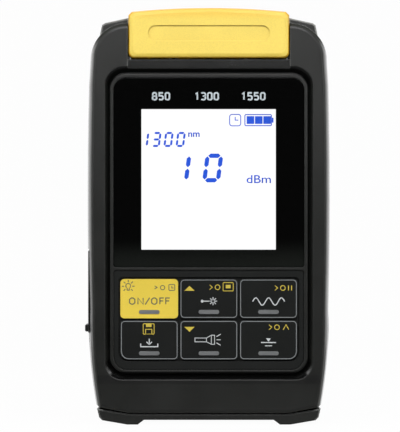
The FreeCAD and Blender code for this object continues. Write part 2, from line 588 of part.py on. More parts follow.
def make_cover():
    draw = cover_rear_draw / cover_rear_radius
    sections = [cover_outline(cover_rear_y - depth, inset * draw, inset, 0, cover_corner_radius)
                for depth, inset in reversed(rounded_steps(cover_rear_radius, cover_steps))]
    sections += [cover_outline(cover_front_y + depth, inset, inset, inset, cover_corner_radius)
                 for depth, inset in rounded_steps(cover_edge_radius, cover_steps)]
    cap = Part.makeLoft(sections, True, True)
    inner_front_y, inner_rear_y = cover_front_y + cover_wall, cover_rear_y - cover_wall
    side = cover_wall + cover_rear_draw / 2
    hollow = Part.makeLoft([cover_outline(inner_front_y, cover_wall, cover_wall, -1, 0.5),
                            cover_outline(inner_rear_y - cover_wall, cover_wall, cover_wall, -1, 0.5),
                            cover_outline(inner_rear_y, side, cover_wall * 2, -1, 0.5)], True, True)
    cap = cap.cut(hollow)
    # Behind and under the hinge the cap is round, so that it can turn past the sill.
    corner = box(-cover_half - 1, cover_half + 1, hinge_y, cover_rear_y + 1, cover_bottom_z - 1, hinge_z)
    cap = cap.cut(corner)
    barrel = rod_x(hinge_y, hinge_z, barrel_radius, -cover_half, cover_half)
    cap = cap.fuse(barrel)
    cap = cap.cut(rod_x(hinge_y, hinge_z, barrel_radius - cover_wall, -barrel_bore_half, barrel_bore_half))
    for x0, x1 in ((-cover_half - 1, -pin_inner_x), (pin_inner_x, cover_half + 1)):
        cap = cap.cut(rod_x(hinge_y, hinge_z, pin_radius + pin_fit, x0, x1))
    pill = recess_height * 0.49
    cap = cap.cut(rounded_pad(-recess_half, recess_half, recess_z - recess_height / 2,
                              recess_z + recess_height / 2, cover_front_y - 1, cover_front_y + recess_depth,
                              (pill, pill), (pill, pill)))
    save("flip_cover", cap)
    save("hinge_pin_right", rod_x(hinge_y, hinge_z, pin_radius, pin_inner_x, pin_outer_x))
    save("hinge_pin_left", rod_x(hinge_y, hinge_z, pin_radius, -pin_outer_x, -pin_inner_x))


# Network jack on the back of the board, and the rubber flap over it.
def make_jack():
    front_x = jack_front_x
    z0, z1 = jack_z - jack_width / 2, jack_z + jack_width / 2
    body = box(front_x, front_x + jack_depth, board_back_y, board_back_y + jack_height, z0, z1)
    mouth_z0, mouth_z1 = jack_z - jack_mouth_width / 2, jack_z + jack_mouth_width / 2
    mouth_y0, mouth_y1 = mouth_y - mouth_height / 2, mouth_y + mouth_height / 2
    mouth = box(front_x - 1, front_x + mouth_depth, mouth_y0, mouth_y1, mouth_z0, mouth_z1)
    save("network_jack", body.cut(mouth))
    first_z = jack_z - (jack_contact_count - 1) * jack_contact_pitch / 2
    strips = [box(front_x + 1.5, front_x + mouth_depth, mouth_y0, mouth_y0 + jack_contact_height,
                  z - jack_contact_width / 2, z + jack_contact_width / 2)
              for z in (first_z + i * jack_contact_pitch for i in range(jack_contact_count))]
    save("jack_contacts", Part.makeCompound(strips))
    plate = box(flap_outer_x, flap_inner_x, flap_y0, flap_y1, flap_z0, flap_axis_z)
    plate = plate.makeFillet(flap_corner_radius,
                             [e for e in plate.Edges
                              if e.BoundBox.XLength > flap_thickness / 2 and e.BoundBox.ZMax < flap_z0 + 1])
    head = rod_y(flap_axis_x, flap_axis_z, flap_thickness / 2, flap_y0, flap_y1)
    pivots = rod_y(flap_axis_x, flap_axis_z, trunnion_radius, flap_y0 - trunnion_length,
                   flap_y1 + trunnion_length)
    lip = box(flap_outer_x - flap_lip_proud, flap_inner_x, flap_y0 + flap_lip_margin,
              flap_y1 - flap_lip_margin, flap_lip_z0, flap_lip_z1)
    lip = lip.makeChamfer(flap_lip_round, [e for e in lip.Edges if e.BoundBox.XMax < flap_outer_x])
    clear = flap_rib_clearance
    reach_y = mouth_height / 2 + port_margin - clear
    reach_z = jack_mouth_width / 2 + port_margin - clear
    wall = flap_rib_wall
    rib_end_x = jack_front_x - flap_gap
    rib = box(flap_inner_x - 0.1, rib_end_x, mouth_y - reach_y, mouth_y + reach_y,
              jack_z - reach_z, jack_z + reach_z)
    rib = rib.cut(box(flap_inner_x, rib_end_x + 1, mouth_y - reach_y + wall, mouth_y + reach_y - wall,
                      jack_z - reach_z + wall, jack_z + reach_z - wall))
    save("port_flap", plate.multiFuse([head, pivots, lip, rib]).removeSplitter())


# Batteries, their contacts and the door.
def leaf(x, plate_z, height):
    """A folded leaf of sheet metal that stands on its plate and presses the cell's flat end."""
    def bridge(reach, rise):
        crest = reach * leaf_crest
        corners = [(-reach, 0), (-crest, rise), (crest, rise), (reach, 0), (-reach, 0)]
        points = [V(x - leaf_width / 2, cell_y + y, plate_z + z) for y, z in corners]
        return Part.Face(Part.makePolygon(points))
    thin = math.copysign(contact_thickness, height)
    strip = bridge(leaf_reach, height).cut(bridge(leaf_reach - contact_thickness, height - thin))
    return strip.extrude(V(leaf_width, 0, 0))


def contact_plate(x_low, x_high, z0):
    half = cell_radius - contact_margin
    return box(x_low - half, x_high + half, cell_y - contact_height / 2, cell_y + contact_height / 2, z0,
               z0 + contact_thickness)


def make_batteries():
    bottom, top = bay_z0 + contact_thickness, bay_z1 - contact_thickness
    xs = [column * cell_pitch for column in (-1, 0, 1)]
    for number, x in enumerate(xs):
        plus_up = number % 2 == 0
        z0 = bottom + (leaf_height if plus_up else cell_nub)
        can = rod_z(x, cell_y, cell_radius, z0, z0 + cell_length)
        nub_z = z0 + cell_length if plus_up else z0 - cell_nub
        nub = rod_z(x, cell_y, cell_nub_radius, nub_z, nub_z + cell_nub)
        save("battery_cell_%d" % (number + 1), can.fuse(nub))
    save("contact_negative", contact_plate(xs[0], xs[0], bay_z0).fuse(leaf(xs[0], bottom, leaf_height)))
    save("contact_link_lower", contact_plate(xs[1], xs[2], bay_z0).fuse(leaf(xs[2], bottom, leaf_height)))
    save("contact_link_upper", contact_plate(xs[0], xs[1], top).fuse(leaf(xs[1], top, -leaf_height)))
    save("contact_positive", contact_plate(xs[2], xs[2], top))
    door = door_pad(0, door_front_y, rear_y)
    first_z = bay_z1 - (door_rib_count - 1) * door_rib_pitch - 2
    grooves = [box(-door_rib_half, door_rib_half, rear_y - door_rib_depth, rear_y + 1, z, z + door_rib_width)
               for z in (first_z + i * door_rib_pitch for i in range(door_rib_count))]
    save("battery_door", door.cut(grooves[0].multiFuse(grooves[1:])))


save("front_shell", make_front_shell())
save("rear_shell", make_rear_shell())
make_display()
make_keypad()
make_board()
make_screws()
make_ports()
make_cover()
make_jack()
make_batteries()
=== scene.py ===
import math
import bmesh
import bpy
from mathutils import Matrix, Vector


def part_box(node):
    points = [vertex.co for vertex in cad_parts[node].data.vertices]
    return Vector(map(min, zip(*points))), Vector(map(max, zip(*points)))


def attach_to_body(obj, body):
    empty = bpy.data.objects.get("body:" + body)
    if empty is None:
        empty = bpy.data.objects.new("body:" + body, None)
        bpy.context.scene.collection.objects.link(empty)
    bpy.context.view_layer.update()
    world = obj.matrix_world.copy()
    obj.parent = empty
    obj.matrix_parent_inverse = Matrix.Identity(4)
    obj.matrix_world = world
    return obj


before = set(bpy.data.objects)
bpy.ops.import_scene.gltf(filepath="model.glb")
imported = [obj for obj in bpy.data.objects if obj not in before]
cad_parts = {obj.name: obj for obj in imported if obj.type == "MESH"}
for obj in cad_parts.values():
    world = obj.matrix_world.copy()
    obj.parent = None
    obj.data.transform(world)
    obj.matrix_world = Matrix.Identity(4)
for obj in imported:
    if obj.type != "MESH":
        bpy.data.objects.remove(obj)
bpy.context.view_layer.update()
MM = 0.001

# ---- Camera and studio -----------------------------
# A long lens straight in front of the meter. Soft lamps stand at both sides, high and low in front, and
# behind. The floor and the wall behind are white paper, clear to a camera that stands behind the wall.
VIEW_HEIGHT, VIEW_X, VIEW_Z, LENS, SENSOR = 124.3 * MM, -2.55 * MM, 60.1 * MM, 250.0, 36.0
scene = bpy.context.scene
camera_data = bpy.data.cameras.new("camera")
camera_data.lens, camera_data.sensor_width = LENS, SENSOR
camera = bpy.data.objects.new("camera", camera_data)
front_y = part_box("front_shell")[0].y
camera.location = (VIEW_X, front_y - VIEW_HEIGHT * LENS / SENSOR, VIEW_Z)
camera.rotation_euler = (math.radians(90), 0, 0)
scene.collection.objects.link(camera)
scene.camera = camera
scene.view_settings.view_transform = "Standard"


def lamp(name, place, aim, width, height, watts):
    data = bpy.data.lights.new(name, "AREA")
    data.shape, data.size, data.size_y, data.energy = "RECTANGLE", width, height, watts
    stand = bpy.data.objects.new(name, data)
    stand.location = place
    stand.rotation_euler = (Vector(aim) - Vector(place)).to_track_quat("-Z", "Y").to_euler()
    scene.collection.objects.link(stand)


aim = (0, 0, 0.06)
lamp("high_lamp", (0.0, -0.42, 0.46), aim, 0.50, 0.25, 1.8)
lamp("low_lamp", (0.0, -0.75, 0.34), aim, 0.50, 0.20, 1.55)
lamp("left_lamp", (-0.62, -0.34, 0.30), aim, 0.30, 0.60, 1.9)
lamp("right_lamp", (0.62, -0.34, 0.30), aim, 0.30, 0.60, 1.9)
lamp("rear_lamp", (0.0, 0.55, 0.75), aim, 0.80, 0.50, 1.5)


def tone(red, green, blue):
    """A display colour, given from 0 to 255, as the linear colour that shaders take."""
    return tuple(((c / 255 + 0.055) / 1.055) ** 2.4 if c > 10 else c / 255 / 12.92
                 for c in (red, green, blue)) + (1.0,)


def shade(colour, share):
    """The colour, darker or lighter."""
    return tuple(c * share for c in colour[:3]) + (1.0,)


class Value:
    """One output of a shader node. Arithmetic on it adds the Math nodes."""

    def __init__(self, finish, socket):
        self.finish, self.socket = finish, socket

    def math(self, operation, *others):
        return self.finish.node("ShaderNodeMath", {"operation": operation}, dict(enumerate((self,) + others)))

    def flipped(self, operation, other):
        return self.finish.node("ShaderNodeMath", {"operation": operation}, {0: other, 1: self})

    def __add__(self, other):
        return self.math("ADD", other)

    def __sub__(self, other):
        return self.math("SUBTRACT", other)

    def __mul__(self, other):
        return self.math("MULTIPLY", other)

    def __truediv__(self, other):
        return self.math("DIVIDE", other)

    def __rsub__(self, other):
        return self.flipped("SUBTRACT", other)

    def __rtruediv__(self, other):
        return self.flipped("DIVIDE", other)

    __radd__, __rmul__ = __add__, __mul__

    def step(self, low, high):
        """0 below low, 1 above high, and smooth between them."""
        return self.finish.node("ShaderNodeMapRange", {"interpolation_type": "SMOOTHSTEP"},
                                {"Value": self, "From Min": low, "From Max": high})


class Finish:
    """The nodes of a material, or of the world, that is being put together."""

    def __init__(self, name, world=None):
        self.owner = world or bpy.data.materials.new(name)
        self.owner.use_nodes = True
        self.tree = self.owner.node_tree
        self.tree.nodes.clear()
        self.place = None if world else self.node("ShaderNodeTexCoord", out="Object")

    def node(self, kind, settings=(), values=(), out=0):
        """One output of a new node, whose settings come first and then its sockets' values or links."""
        made = self.tree.nodes.new(kind)
        for name, setting in dict(settings).items():
            setattr(made, name, setting)
        for name, value in dict(values).items():
            if isinstance(value, Value):
                self.tree.links.new(value.socket, made.inputs[name])
            else:
                made.inputs[name].default_value = value
        return Value(self, made.outputs[out]) if made.outputs else None

    def axes(self):
        """The place on the piece, along each axis."""
        return [self.node("ShaderNodeSeparateXYZ", {}, {0: self.place}, axis) for axis in "XYZ"]

    def noise(self, size, detail=2.0, stretch=(1, 1, 1)):
        """Cloudy noise from 0 to 1, with lumps about size across."""
        place = self.node("ShaderNodeMapping", {}, {"Vector": self.place, "Scale": stretch})
        return self.node("ShaderNodeTexNoise", {}, {"Vector": place, "Scale": 1 / size, "Detail": detail})

    def mix(self, share, first, second):
        """The colour first where share is 0, and second where it is 1."""
        return self.node("ShaderNodeMix", {"data_type": "RGBA"}, {0: share, 6: first, 7: second}, 2)

    def edges(self, radius):
        """A normal that rounds the edges off, and a mask that is 1 on them and 0 on open faces."""
        rounded = self.node("ShaderNodeBevel", {"samples": 4}, {"Radius": radius})
        true = self.node("ShaderNodeNewGeometry", out="Normal")
        dot = self.node("ShaderNodeVectorMath", {"operation": "DOT_PRODUCT"}, {0: rounded, 1: true}, "Value")
        return rounded, (1 - dot).step(0.01, 0.2)

    def front_on(self, normal, share):
        """The normal turned towards the piece's front by a share."""
        front = self.node("ShaderNodeVectorTransform", {
            "vector_type": "NORMAL", "convert_from": "OBJECT", "convert_to": "WORLD"}, {0: (0.0, -1.0, 0.0)})
        turned = self.mix(share, normal, front)
        return self.node("ShaderNodeVectorMath", {"operation": "NORMALIZE"}, {0: turned})

    def bump(self, height, depth, normal=None):
        values = {"Height": height, "Distance": depth}
        if normal:
            values["Normal"] = normal
        return self.node("ShaderNodeBump", {}, values)

    def facing(self, axis):
        """How far the surface faces along an axis of the piece, which turns with the piece."""
        normal = self.node("ShaderNodeNewGeometry", out="Normal")
        turned = self.node("ShaderNodeVectorTransform", {
            "vector_type": "NORMAL", "convert_from": "WORLD", "convert_to": "OBJECT"}, {0: normal})
        return self.node("ShaderNodeSeparateXYZ", {}, {0: turned}, axis)

    def blend(self, share, first, second):
        """The shader first where share is 0, and second where it is 1."""
        return self.node("ShaderNodeMixShader", {}, {0: share, 1: first, 2: second})

    def close(self, shader, kind="ShaderNodeOutputMaterial"):
        self.node(kind, {}, {"Surface": shader})
        return self.owner

    def surface(self, sheen_share=None, sheen_tone=None, **sockets):
        """A principled surface. Where the first share is 1 it only scatters light, in a paler tone painted as
        sheen.
        """
        values = {name.replace("_", " "): value for name, value in sockets.items()}
        shader = self.node("ShaderNodeBsdfPrincipled", {}, values)
        if sheen_share:
            shader = self.blend(sheen_share, shader, self.node("ShaderNodeBsdfDiffuse", {}, {"Color": sheen_tone}))
        return self.close(shader)


PAPER_TONE, FIBRE_TONE, FIBRE = tone(255, 255, 255), tone(246, 246, 246), 4 * MM
# The camera sees this share of the paper's own even glow, and the rest is shadow. Mirrors see the second
# tone in front of the meter.
PAPER_GLOW, FRONT_GLOW = 0.97, (0.28, 0.28, 0.28, 1.0)


def paper_white(name):
    """White paper that the camera, mirrors and glass see evenly lit, with soft shadows kept."""
    finish = Finish(name)
    diffuse = finish.node("ShaderNodeBsdfDiffuse", {}, {
        "Color": finish.mix(finish.noise(FIBRE), FIBRE_TONE, PAPER_TONE)})
    camera_ray, glossy_ray, clear_ray = (finish.node("ShaderNodeLightPath", out="Is %s Ray" % ray)
                                         for ray in ("Camera", "Glossy", "Transmission"))
    front = (1 - finish.axes()[1].step(front_y, 0.0)) * glossy_ray
    glow = finish.node("ShaderNodeEmission", {}, {"Color": finish.mix(front, PAPER_TONE, FRONT_GLOW)})
    seen = (camera_ray * PAPER_GLOW).math("MAXIMUM", glossy_ray).math("MAXIMUM", clear_ray)
    behind = finish.node("ShaderNodeNewGeometry", out="Backfacing")
    sheet = finish.blend(behind, finish.blend(seen, diffuse, glow), finish.node("ShaderNodeBsdfTransparent"))
    return finish.close(sheet)


FLOOR_FRONT, FLOOR_REACH, WALL_Y, WALL_HEIGHT = 50 * MM, 3000 * MM, 900 * MM, 2500 * MM
SWEEP, SWEEP_STEPS = 400 * MM, 16


def sweep_mesh():
    """Floor and wall in one piece, joined by a quarter round."""
    turns = [math.radians(90 * i / SWEEP_STEPS) for i in range(SWEEP_STEPS + 1)]
    profile = [(front_y - FLOOR_FRONT, 0.0)]
    profile += [(WALL_Y - SWEEP + SWEEP * math.sin(t), SWEEP - SWEEP * math.cos(t)) for t in turns]
    profile.append((WALL_Y, WALL_HEIGHT))
    corners = [(x, y, z) for y, z in profile for x in (-FLOOR_REACH, FLOOR_REACH)]
    faces = [(2 * i, 2 * i + 1, 2 * i + 3, 2 * i + 2) for i in range(len(profile) - 1)]
    mesh = bpy.data.meshes.new("paper_sweep")
    mesh.from_pydata(corners, [], faces)
    mesh.shade_smooth()
    return mesh


paper = bpy.data.objects.new("paper_sweep", sweep_mesh())
paper.data.materials.append(paper_white("white_paper"))
scene.collection.objects.link(paper)

# The room is dim, so that the lamps shape the meter, but the camera sees it white.
ROOM_TONE, ROOM_LIGHT = (0.90, 0.95, 0.92, 1.0), 0.03
room = Finish("room", bpy.data.worlds.new("room"))
room_glow = room.node("ShaderNodeBackground", {}, {"Color": ROOM_TONE, "Strength": ROOM_LIGHT})
room_white = room.node("ShaderNodeBackground", {}, {"Color": PAPER_TONE})
room_seen = room.node("ShaderNodeLightPath", out="Is Camera Ray")
scene.world = room.close(room.blend(room_seen, room_glow, room_white), "ShaderNodeOutputWorld")

# ---- Housing ---------------------------------------
# Two shells of black ABS, moulded in a spark-eroded tool, so that they have a fine dull grain. Handling
# has polished their edges. Four screws in the back hold them together.
HOUSING_TONE, HOUSING_WORN = tone(24, 25, 23), tone(54, 55, 53)
# The three tones on the next line are painted light: shade deepening into the moat and under the cover, a
# highlight on edges, and a sheen on the sides.
POLISH_SHADE_TONE, EDGE_HIGHLIGHT_TONE, PAINTED_SHEEN_TONE = tone(4, 4, 4), tone(188, 189, 185), tone(66, 67, 64)
GRAIN, GRAIN_DEPTH, EDGE_ROUND, PATCH, RUB = 0.30 * MM, 0.020 * MM, 0.22 * MM, 9 * MM, 1.3 * MM
POLISHED_ROUGHNESS = 0.16


def dress(finish, *names):
    """Gives the named nodes of the part their material."""
    for name in names:
        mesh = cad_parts[name].data
        mesh.materials.clear()
        mesh.materials.append(finish)


def moulded(name, colour, worn, roughness, grain=GRAIN, depth=GRAIN_DEPTH, edge=EDGE_ROUND, wear=0.5,
            zones=None, gloss=0.5):
    """Moulded plastic: grain, patches of slightly different gloss, soft edges that are worn. Its zones can
    have a polish with painted shade, be sleek, have a paler matte tone painted as sheen, take tints of
    painted shade or be softly rounded, and their edges can have a pale painted highlight."""
    finish = Finish(name)
    fine, patch = finish.noise(grain, 3.0), finish.noise(PATCH, 3.0)
    rounded, rim = finish.edges(edge)
    # The edge tone is wear on most parts; on the cover it is a deeper orange painted shade, and on the flap a
    # pale painted highlight.
    edge_wear_and_painted_light = rim * finish.noise(RUB, 3.0).step(0.35, 0.70) * wear
    body = finish.mix(patch.step(0.3, 0.7) * 0.35, colour, shade(colour, 1.18))
    body = finish.mix(fine.step(0.35, 0.65) * 0.30, body, shade(colour, 0.78))
    body = finish.mix(edge_wear_and_painted_light, body, worn)
    rough = roughness + (patch - 0.5) * 0.16 - edge_wear_and_painted_light * 0.12 + (fine - 0.5) * 0.10
    zone = zones(finish) if zones else {}
    # Painted highlight: a pale tone on the zone's edges.
    if "painted_edge_highlight" in zone:
        body = finish.mix((rim * zone["painted_edge_highlight"]).math("MINIMUM", 0.95), body, EDGE_HIGHLIGHT_TONE)
    # The tints are painted shade.
    for share, tint in zone.get("tints", ()):
        body = finish.mix(share, body, tint)
    if "sleek" in zone:
        rough = rough * (1 - zone["sleek"])
    # Glossy zones are also painted darker, as shade.
    if "polished" in zone:
        body = finish.mix(zone["polished"], body, POLISH_SHADE_TONE)
        rough = rough * (1 - zone["polished"]) + zone["polished"] * POLISHED_ROUGHNESS
        fine = fine * (1 - zone["polished"] * 0.9)
    if "soft" in zone:
        rounded = finish.front_on(rounded, zone["soft"])
    # The matte zone is painted sheen, a paler tone that only scatters light.
    return finish.surface(zone.get("painted_sheen"), PAINTED_SHEEN_TONE, Base_Color=body, Roughness=rough,
                          Specular_IOR_Level=gloss, Normal=finish.bump(fine, depth, rounded))


def rounded_reach(finish, x0, x1, z0, z1, corner):
    """How far a point lies outside a rounded rectangle's core. On its outline this equals corner."""
    x, _, z = finish.axes()
    out_x = ((x - (x0 + x1) / 2).math("ABSOLUTE") - ((x1 - x0) / 2 - corner)).math("MAXIMUM", 0.0)
    out_z = ((z - (z0 + z1) / 2).math("ABSOLUTE") - ((z1 - z0) / 2 - corner)).math("MAXIMUM", 0.0)
    return (out_x * out_x + out_z * out_z).math("SQRT")


# Heights are from the front shell's foot, and depths from its face. Borders between zones are hair-sharp,
# crisp, soft or faded.
HAIR, CRISP, SOFT, FADED = 0.02 * MM, 0.1 * MM, 0.5 * MM, 1 * MM
shell_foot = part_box("front_shell")[0].z
MOAT_HALF, MOAT_LOW, MOAT_HIGH, MOAT_CORNER, MOAT_DEPTH = 30.0 * MM, 9.5 * MM, 99.8 * MM, 5.4 * MM, 1.3 * MM
# The moat's and ledge's shares of polish, here and for the bar below, also set how dark they are painted as
# shade.
MOAT_POLISH_AND_SHADE, LEDGE_HEIGHT, LEDGE_POLISH_AND_SHADE, LIP_LOW, LIP_HIGH = 0.95, 12.0 * MM, 0.95, 8.6 * MM, 10.6 * MM
# The rim's top and the moat's lower lip are painted darker, as shade.
RIM_TOP_HEIGHT, RIM_TOP_SHADE_TONE, LIP_SHADE_TONE = 96.1 * MM, tone(12, 12, 12), tone(8, 8, 8)
SLOT_HALF, BAR_HEIGHT, BAR_BACK, BAR_POLISH_AND_SHADE = 23.4 * MM, 99.0 * MM, 3 * MM, 0.45
BAR_DEPTHS, SLOT_EDGES = (0.3 * MM, 0.5 * MM), (0.5 * MM, 0.7 * MM)
SHOULDER_HEIGHTS, FLANK_DEPTHS, GRASP_DEPTHS = (103.6 * MM, 108.6 * MM), (1.5 * MM, 7 * MM), (6 * MM, 12 * MM)
ANKLE_HEIGHTS, ANKLE_DEPTHS = (12.6 * MM, 30.6 * MM), (5 * MM, 10 * MM)


def front_zones(finish):
    """The tool had a polish in the moat, and a little on the bar under the cover. There, and on the low
    ledge, the colour is painted darker with depth, as shade, and the rim's top and the moat's lower lip get
    painted shade too. A paler matte tone is painted as sheen on the shoulders and on the sides next to the
    face, whose rear half is sleek from the hand. The slot's edges at the top get a painted highlight."""
    x, y, z = finish.axes()
    depth, aside, height = y - front_y, x.math("ABSOLUTE"), z - shell_foot
    reach = rounded_reach(finish, -MOAT_HALF, MOAT_HALF, shell_foot + MOAT_LOW, shell_foot + MOAT_HIGH,
                          MOAT_CORNER)
    inside = 1 - reach.step(MOAT_CORNER - HAIR, MOAT_CORNER + HAIR)
    slope = (depth / MOAT_DEPTH).math("MAXIMUM", 0.0).math("MINIMUM", MOAT_POLISH_AND_SHADE)
    ledge = (1 - height.step(LEDGE_HEIGHT - CRISP, LEDGE_HEIGHT)) * depth.step(HAIR, CRISP)
    bar = depth.step(*BAR_DEPTHS) * height.step(BAR_HEIGHT, BAR_HEIGHT + CRISP)
    bar = bar * (1 - aside.step(SLOT_HALF, SLOT_HALF + CRISP))
    bar = bar * (1 - depth.step(BAR_BACK - FADED, BAR_BACK))
    side = finish.facing("Y").step(-0.7, -0.4)
    flank = (1 - depth.step(*FLANK_DEPTHS)) * 0.45
    ankle = (1 - height.step(*ANKLE_HEIGHTS)) * (1 - depth.step(*ANKLE_DEPTHS)) * 0.8
    slot_edge = 1 - (aside - SLOT_HALF).math("ABSOLUTE").step(*SLOT_EDGES)
    # Painted shade on the rim's top and on the moat's lower lip.
    rim_top_shade = inside * height.step(RIM_TOP_HEIGHT - FADED, RIM_TOP_HEIGHT)
    lip_shade = height.step(LIP_LOW - SOFT, LIP_LOW) * (1 - height.step(LIP_HIGH, LIP_HIGH + SOFT))
    # The polish goes with painted shade that deepens into the moat.
    polished = (inside * slope.math("MAXIMUM", ledge * LEDGE_POLISH_AND_SHADE)).math("MAXIMUM", bar * BAR_POLISH_AND_SHADE)
    return {"polished": polished,
            "painted_sheen": side * height.step(*SHOULDER_HEIGHTS).math("MAXIMUM", flank).math("MAXIMUM", ankle),
            "sleek": side * depth.step(*GRASP_DEPTHS) * 0.6,
            "painted_edge_highlight": slot_edge * height.step(BAR_HEIGHT, BAR_HEIGHT + FADED) * 0.4,
            "tints": [(rim_top_shade * 0.8, RIM_TOP_SHADE_TONE), (lip_shade * 0.6, LIP_SHADE_TONE)]}


# Heights on the rear shell are from the ground, where its foot stands.
EAR_HEIGHTS, BUMPER_TOP, BUMPER_SIDE = (104 * MM, 107 * MM), 6 * MM, 31 * MM


def rear_zones(finish):
    """The edges of the ears and the bumper's sides are painted pale, as a highlight."""
    x, _, z = finish.axes()
    bumper = 1 - z.step(BUMPER_TOP - SOFT, BUMPER_TOP)
    bumper = bumper * x.math("ABSOLUTE").step(BUMPER_SIDE - FADED, BUMPER_SIDE)
    return {"painted_edge_highlight": z.step(*EAR_HEIGHTS) * 5 + bumper * 0.6}


HOUSING_LOOK, HOUSING_EDGE, EAR_EDGE = (HOUSING_TONE, HOUSING_WORN, 0.34), 0.4 * MM, 0.9 * MM
front_black = moulded("front_black", *HOUSING_LOOK, edge=HOUSING_EDGE, zones=front_zones)
rear_black = moulded("rear_black", *HOUSING_LOOK, edge=EAR_EDGE, zones=rear_zones)
housing_black = moulded("housing_black", *HOUSING_LOOK, edge=HOUSING_EDGE)
dress(front_black, "front_shell")
dress(rear_black, "rear_shell")

# ---- Battery bay -----------------------------------
# Three steel-cased cells in printed sleeves lie under the door. Bowed leaves and plates of plated steel
# touch their ends and join them in series.
STEEL, NICKEL = tone(176, 178, 182), tone(196, 192, 180)
METAL_GRAIN, METAL_EDGE, SMUDGE = 0.2 * MM, 0.12 * MM, 4 * MM


def bare_metal(name, colour, roughness, stretch=(1, 1, 1), grain=METAL_GRAIN):
    """Plated or drawn metal: fine lines, smudges, and edges that catch light."""
    finish = Finish(name)
    lines, smudge = finish.noise(grain, 4.0, stretch), finish.noise(SMUDGE, 3.0)
    rounded, rim = finish.edges(METAL_EDGE)
    return finish.surface(Base_Color=finish.mix(smudge.step(0.3, 0.7) * 0.4, colour, shade(colour, 0.72)),
                          Metallic=1.0,
                          Roughness=roughness + (smudge - 0.5) * 0.22 + (lines - 0.5) * 0.12 - rim * 0.08,
                          Normal=finish.bump(lines, 0.006 * MM, rounded))


nickel_plate = bare_metal("nickel_plate", NICKEL, 0.32)
dress(nickel_plate, "contact_negative", "contact_positive", "contact_link_upper", "contact_link_lower")
CELL_SLEEVE, CELL_BAND, SLEEVE_SCUFF = tone(34, 52, 74), tone(188, 158, 84), tone(120, 124, 130)
BAND_SHARE, BAND_EDGE = 0.24, 0.05 * MM


def cell_wrap(name, low_z, high_z, button_up):
    """A cell's printed sleeve: dark blue, with a plain gold band at the button's end and bare steel ends."""
    finish = Finish(name)
    band_height = (high_z - low_z) * BAND_SHARE
    band_z = high_z - band_height if button_up else low_z + band_height
    above = finish.axes()[2].step(band_z - BAND_EDGE, band_z + BAND_EDGE)
    band = above if button_up else 1 - above
    scuff, fine = finish.noise(2 * MM, 4.0), finish.noise(0.15 * MM)
    end = finish.facing("Z").math("ABSOLUTE").step(0.7, 0.8)
    sleeve = finish.mix(band, CELL_SLEEVE, CELL_BAND)
    sleeve = finish.mix(scuff.step(0.55, 0.8) * 0.3, sleeve, SLEEVE_SCUFF)
    return finish.surface(Base_Color=finish.mix(end, sleeve, STEEL), Metallic=end.math("MAXIMUM", band * 0.6),
                          Roughness=0.30 + (scuff - 0.5) * 0.2,
                          Normal=finish.bump(fine, 0.004 * MM))


for number in (1, 2, 3):
    cell_low, cell_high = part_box("battery_cell_%d" % number)
    cell_sleeve = cell_wrap("cell_sleeve_%d" % number, cell_low.z, cell_high.z, number % 2 == 1)
    dress(cell_sleeve, "battery_cell_%d" % number)

# ---- Board -----------------------------------------
# A green glass-fibre laminate, screwed to the front shell. It carries a tact switch behind each key,
# the processor, small chip resistors, and the jack.
LAMINATE, SOLDER_MASK, MASK_TRACK = tone(118, 128, 82), tone(26, 78, 52), tone(36, 98, 66)
TRACK_FIELD, TRACKS_IN_FIELD, BOARD_EDGE = 4 * MM, 6, 0.15 * MM


def laminate(name):
    """Solder mask over copper tracks, with the bare laminate showing at the cut edges."""
    finish = Finish(name)
    weave, rim = finish.noise(0.5 * MM), finish.edges(BOARD_EDGE)[1]
    fields = finish.node("ShaderNodeTexVoronoi", {"distance": "MANHATTAN"},
                         {"Vector": finish.place, "Scale": 1 / TRACK_FIELD})
    tracks = (fields * TRACKS_IN_FIELD).math("FRACT").step(0.45, 0.55)
    mask = finish.mix(tracks, SOLDER_MASK, MASK_TRACK)
    return finish.surface(Base_Color=finish.mix(rim * 0.7, mask, LAMINATE),
                          Roughness=0.35 + (weave - 0.5) * 0.2,
                          Normal=finish.bump(tracks + weave * 0.3, 0.02 * MM))


dress(laminate("green_laminate"), "main_board")
chip_black = moulded("chip_black", tone(30, 30, 32), tone(70, 70, 72), 0.55, 0.12 * MM, 0.010 * MM,
                     0.10 * MM)
dress(chip_black, "processor_chip")
switch_black = moulded("switch_black", tone(48, 48, 50), tone(96, 96, 96), 0.45, 0.15 * MM, 0.010 * MM,
                       0.10 * MM)
plunger_white = moulded("plunger_white", tone(206, 204, 196), tone(228, 226, 220), 0.45, 0.15 * MM,
                        0.010 * MM, 0.12 * MM)
KEYS = ("on_off", "fault_laser", "wavelength", "save", "torch", "reference")
for key in KEYS:
    dress(switch_black, "switch_" + key)
    dress(plunger_white, "plunger_" + key)


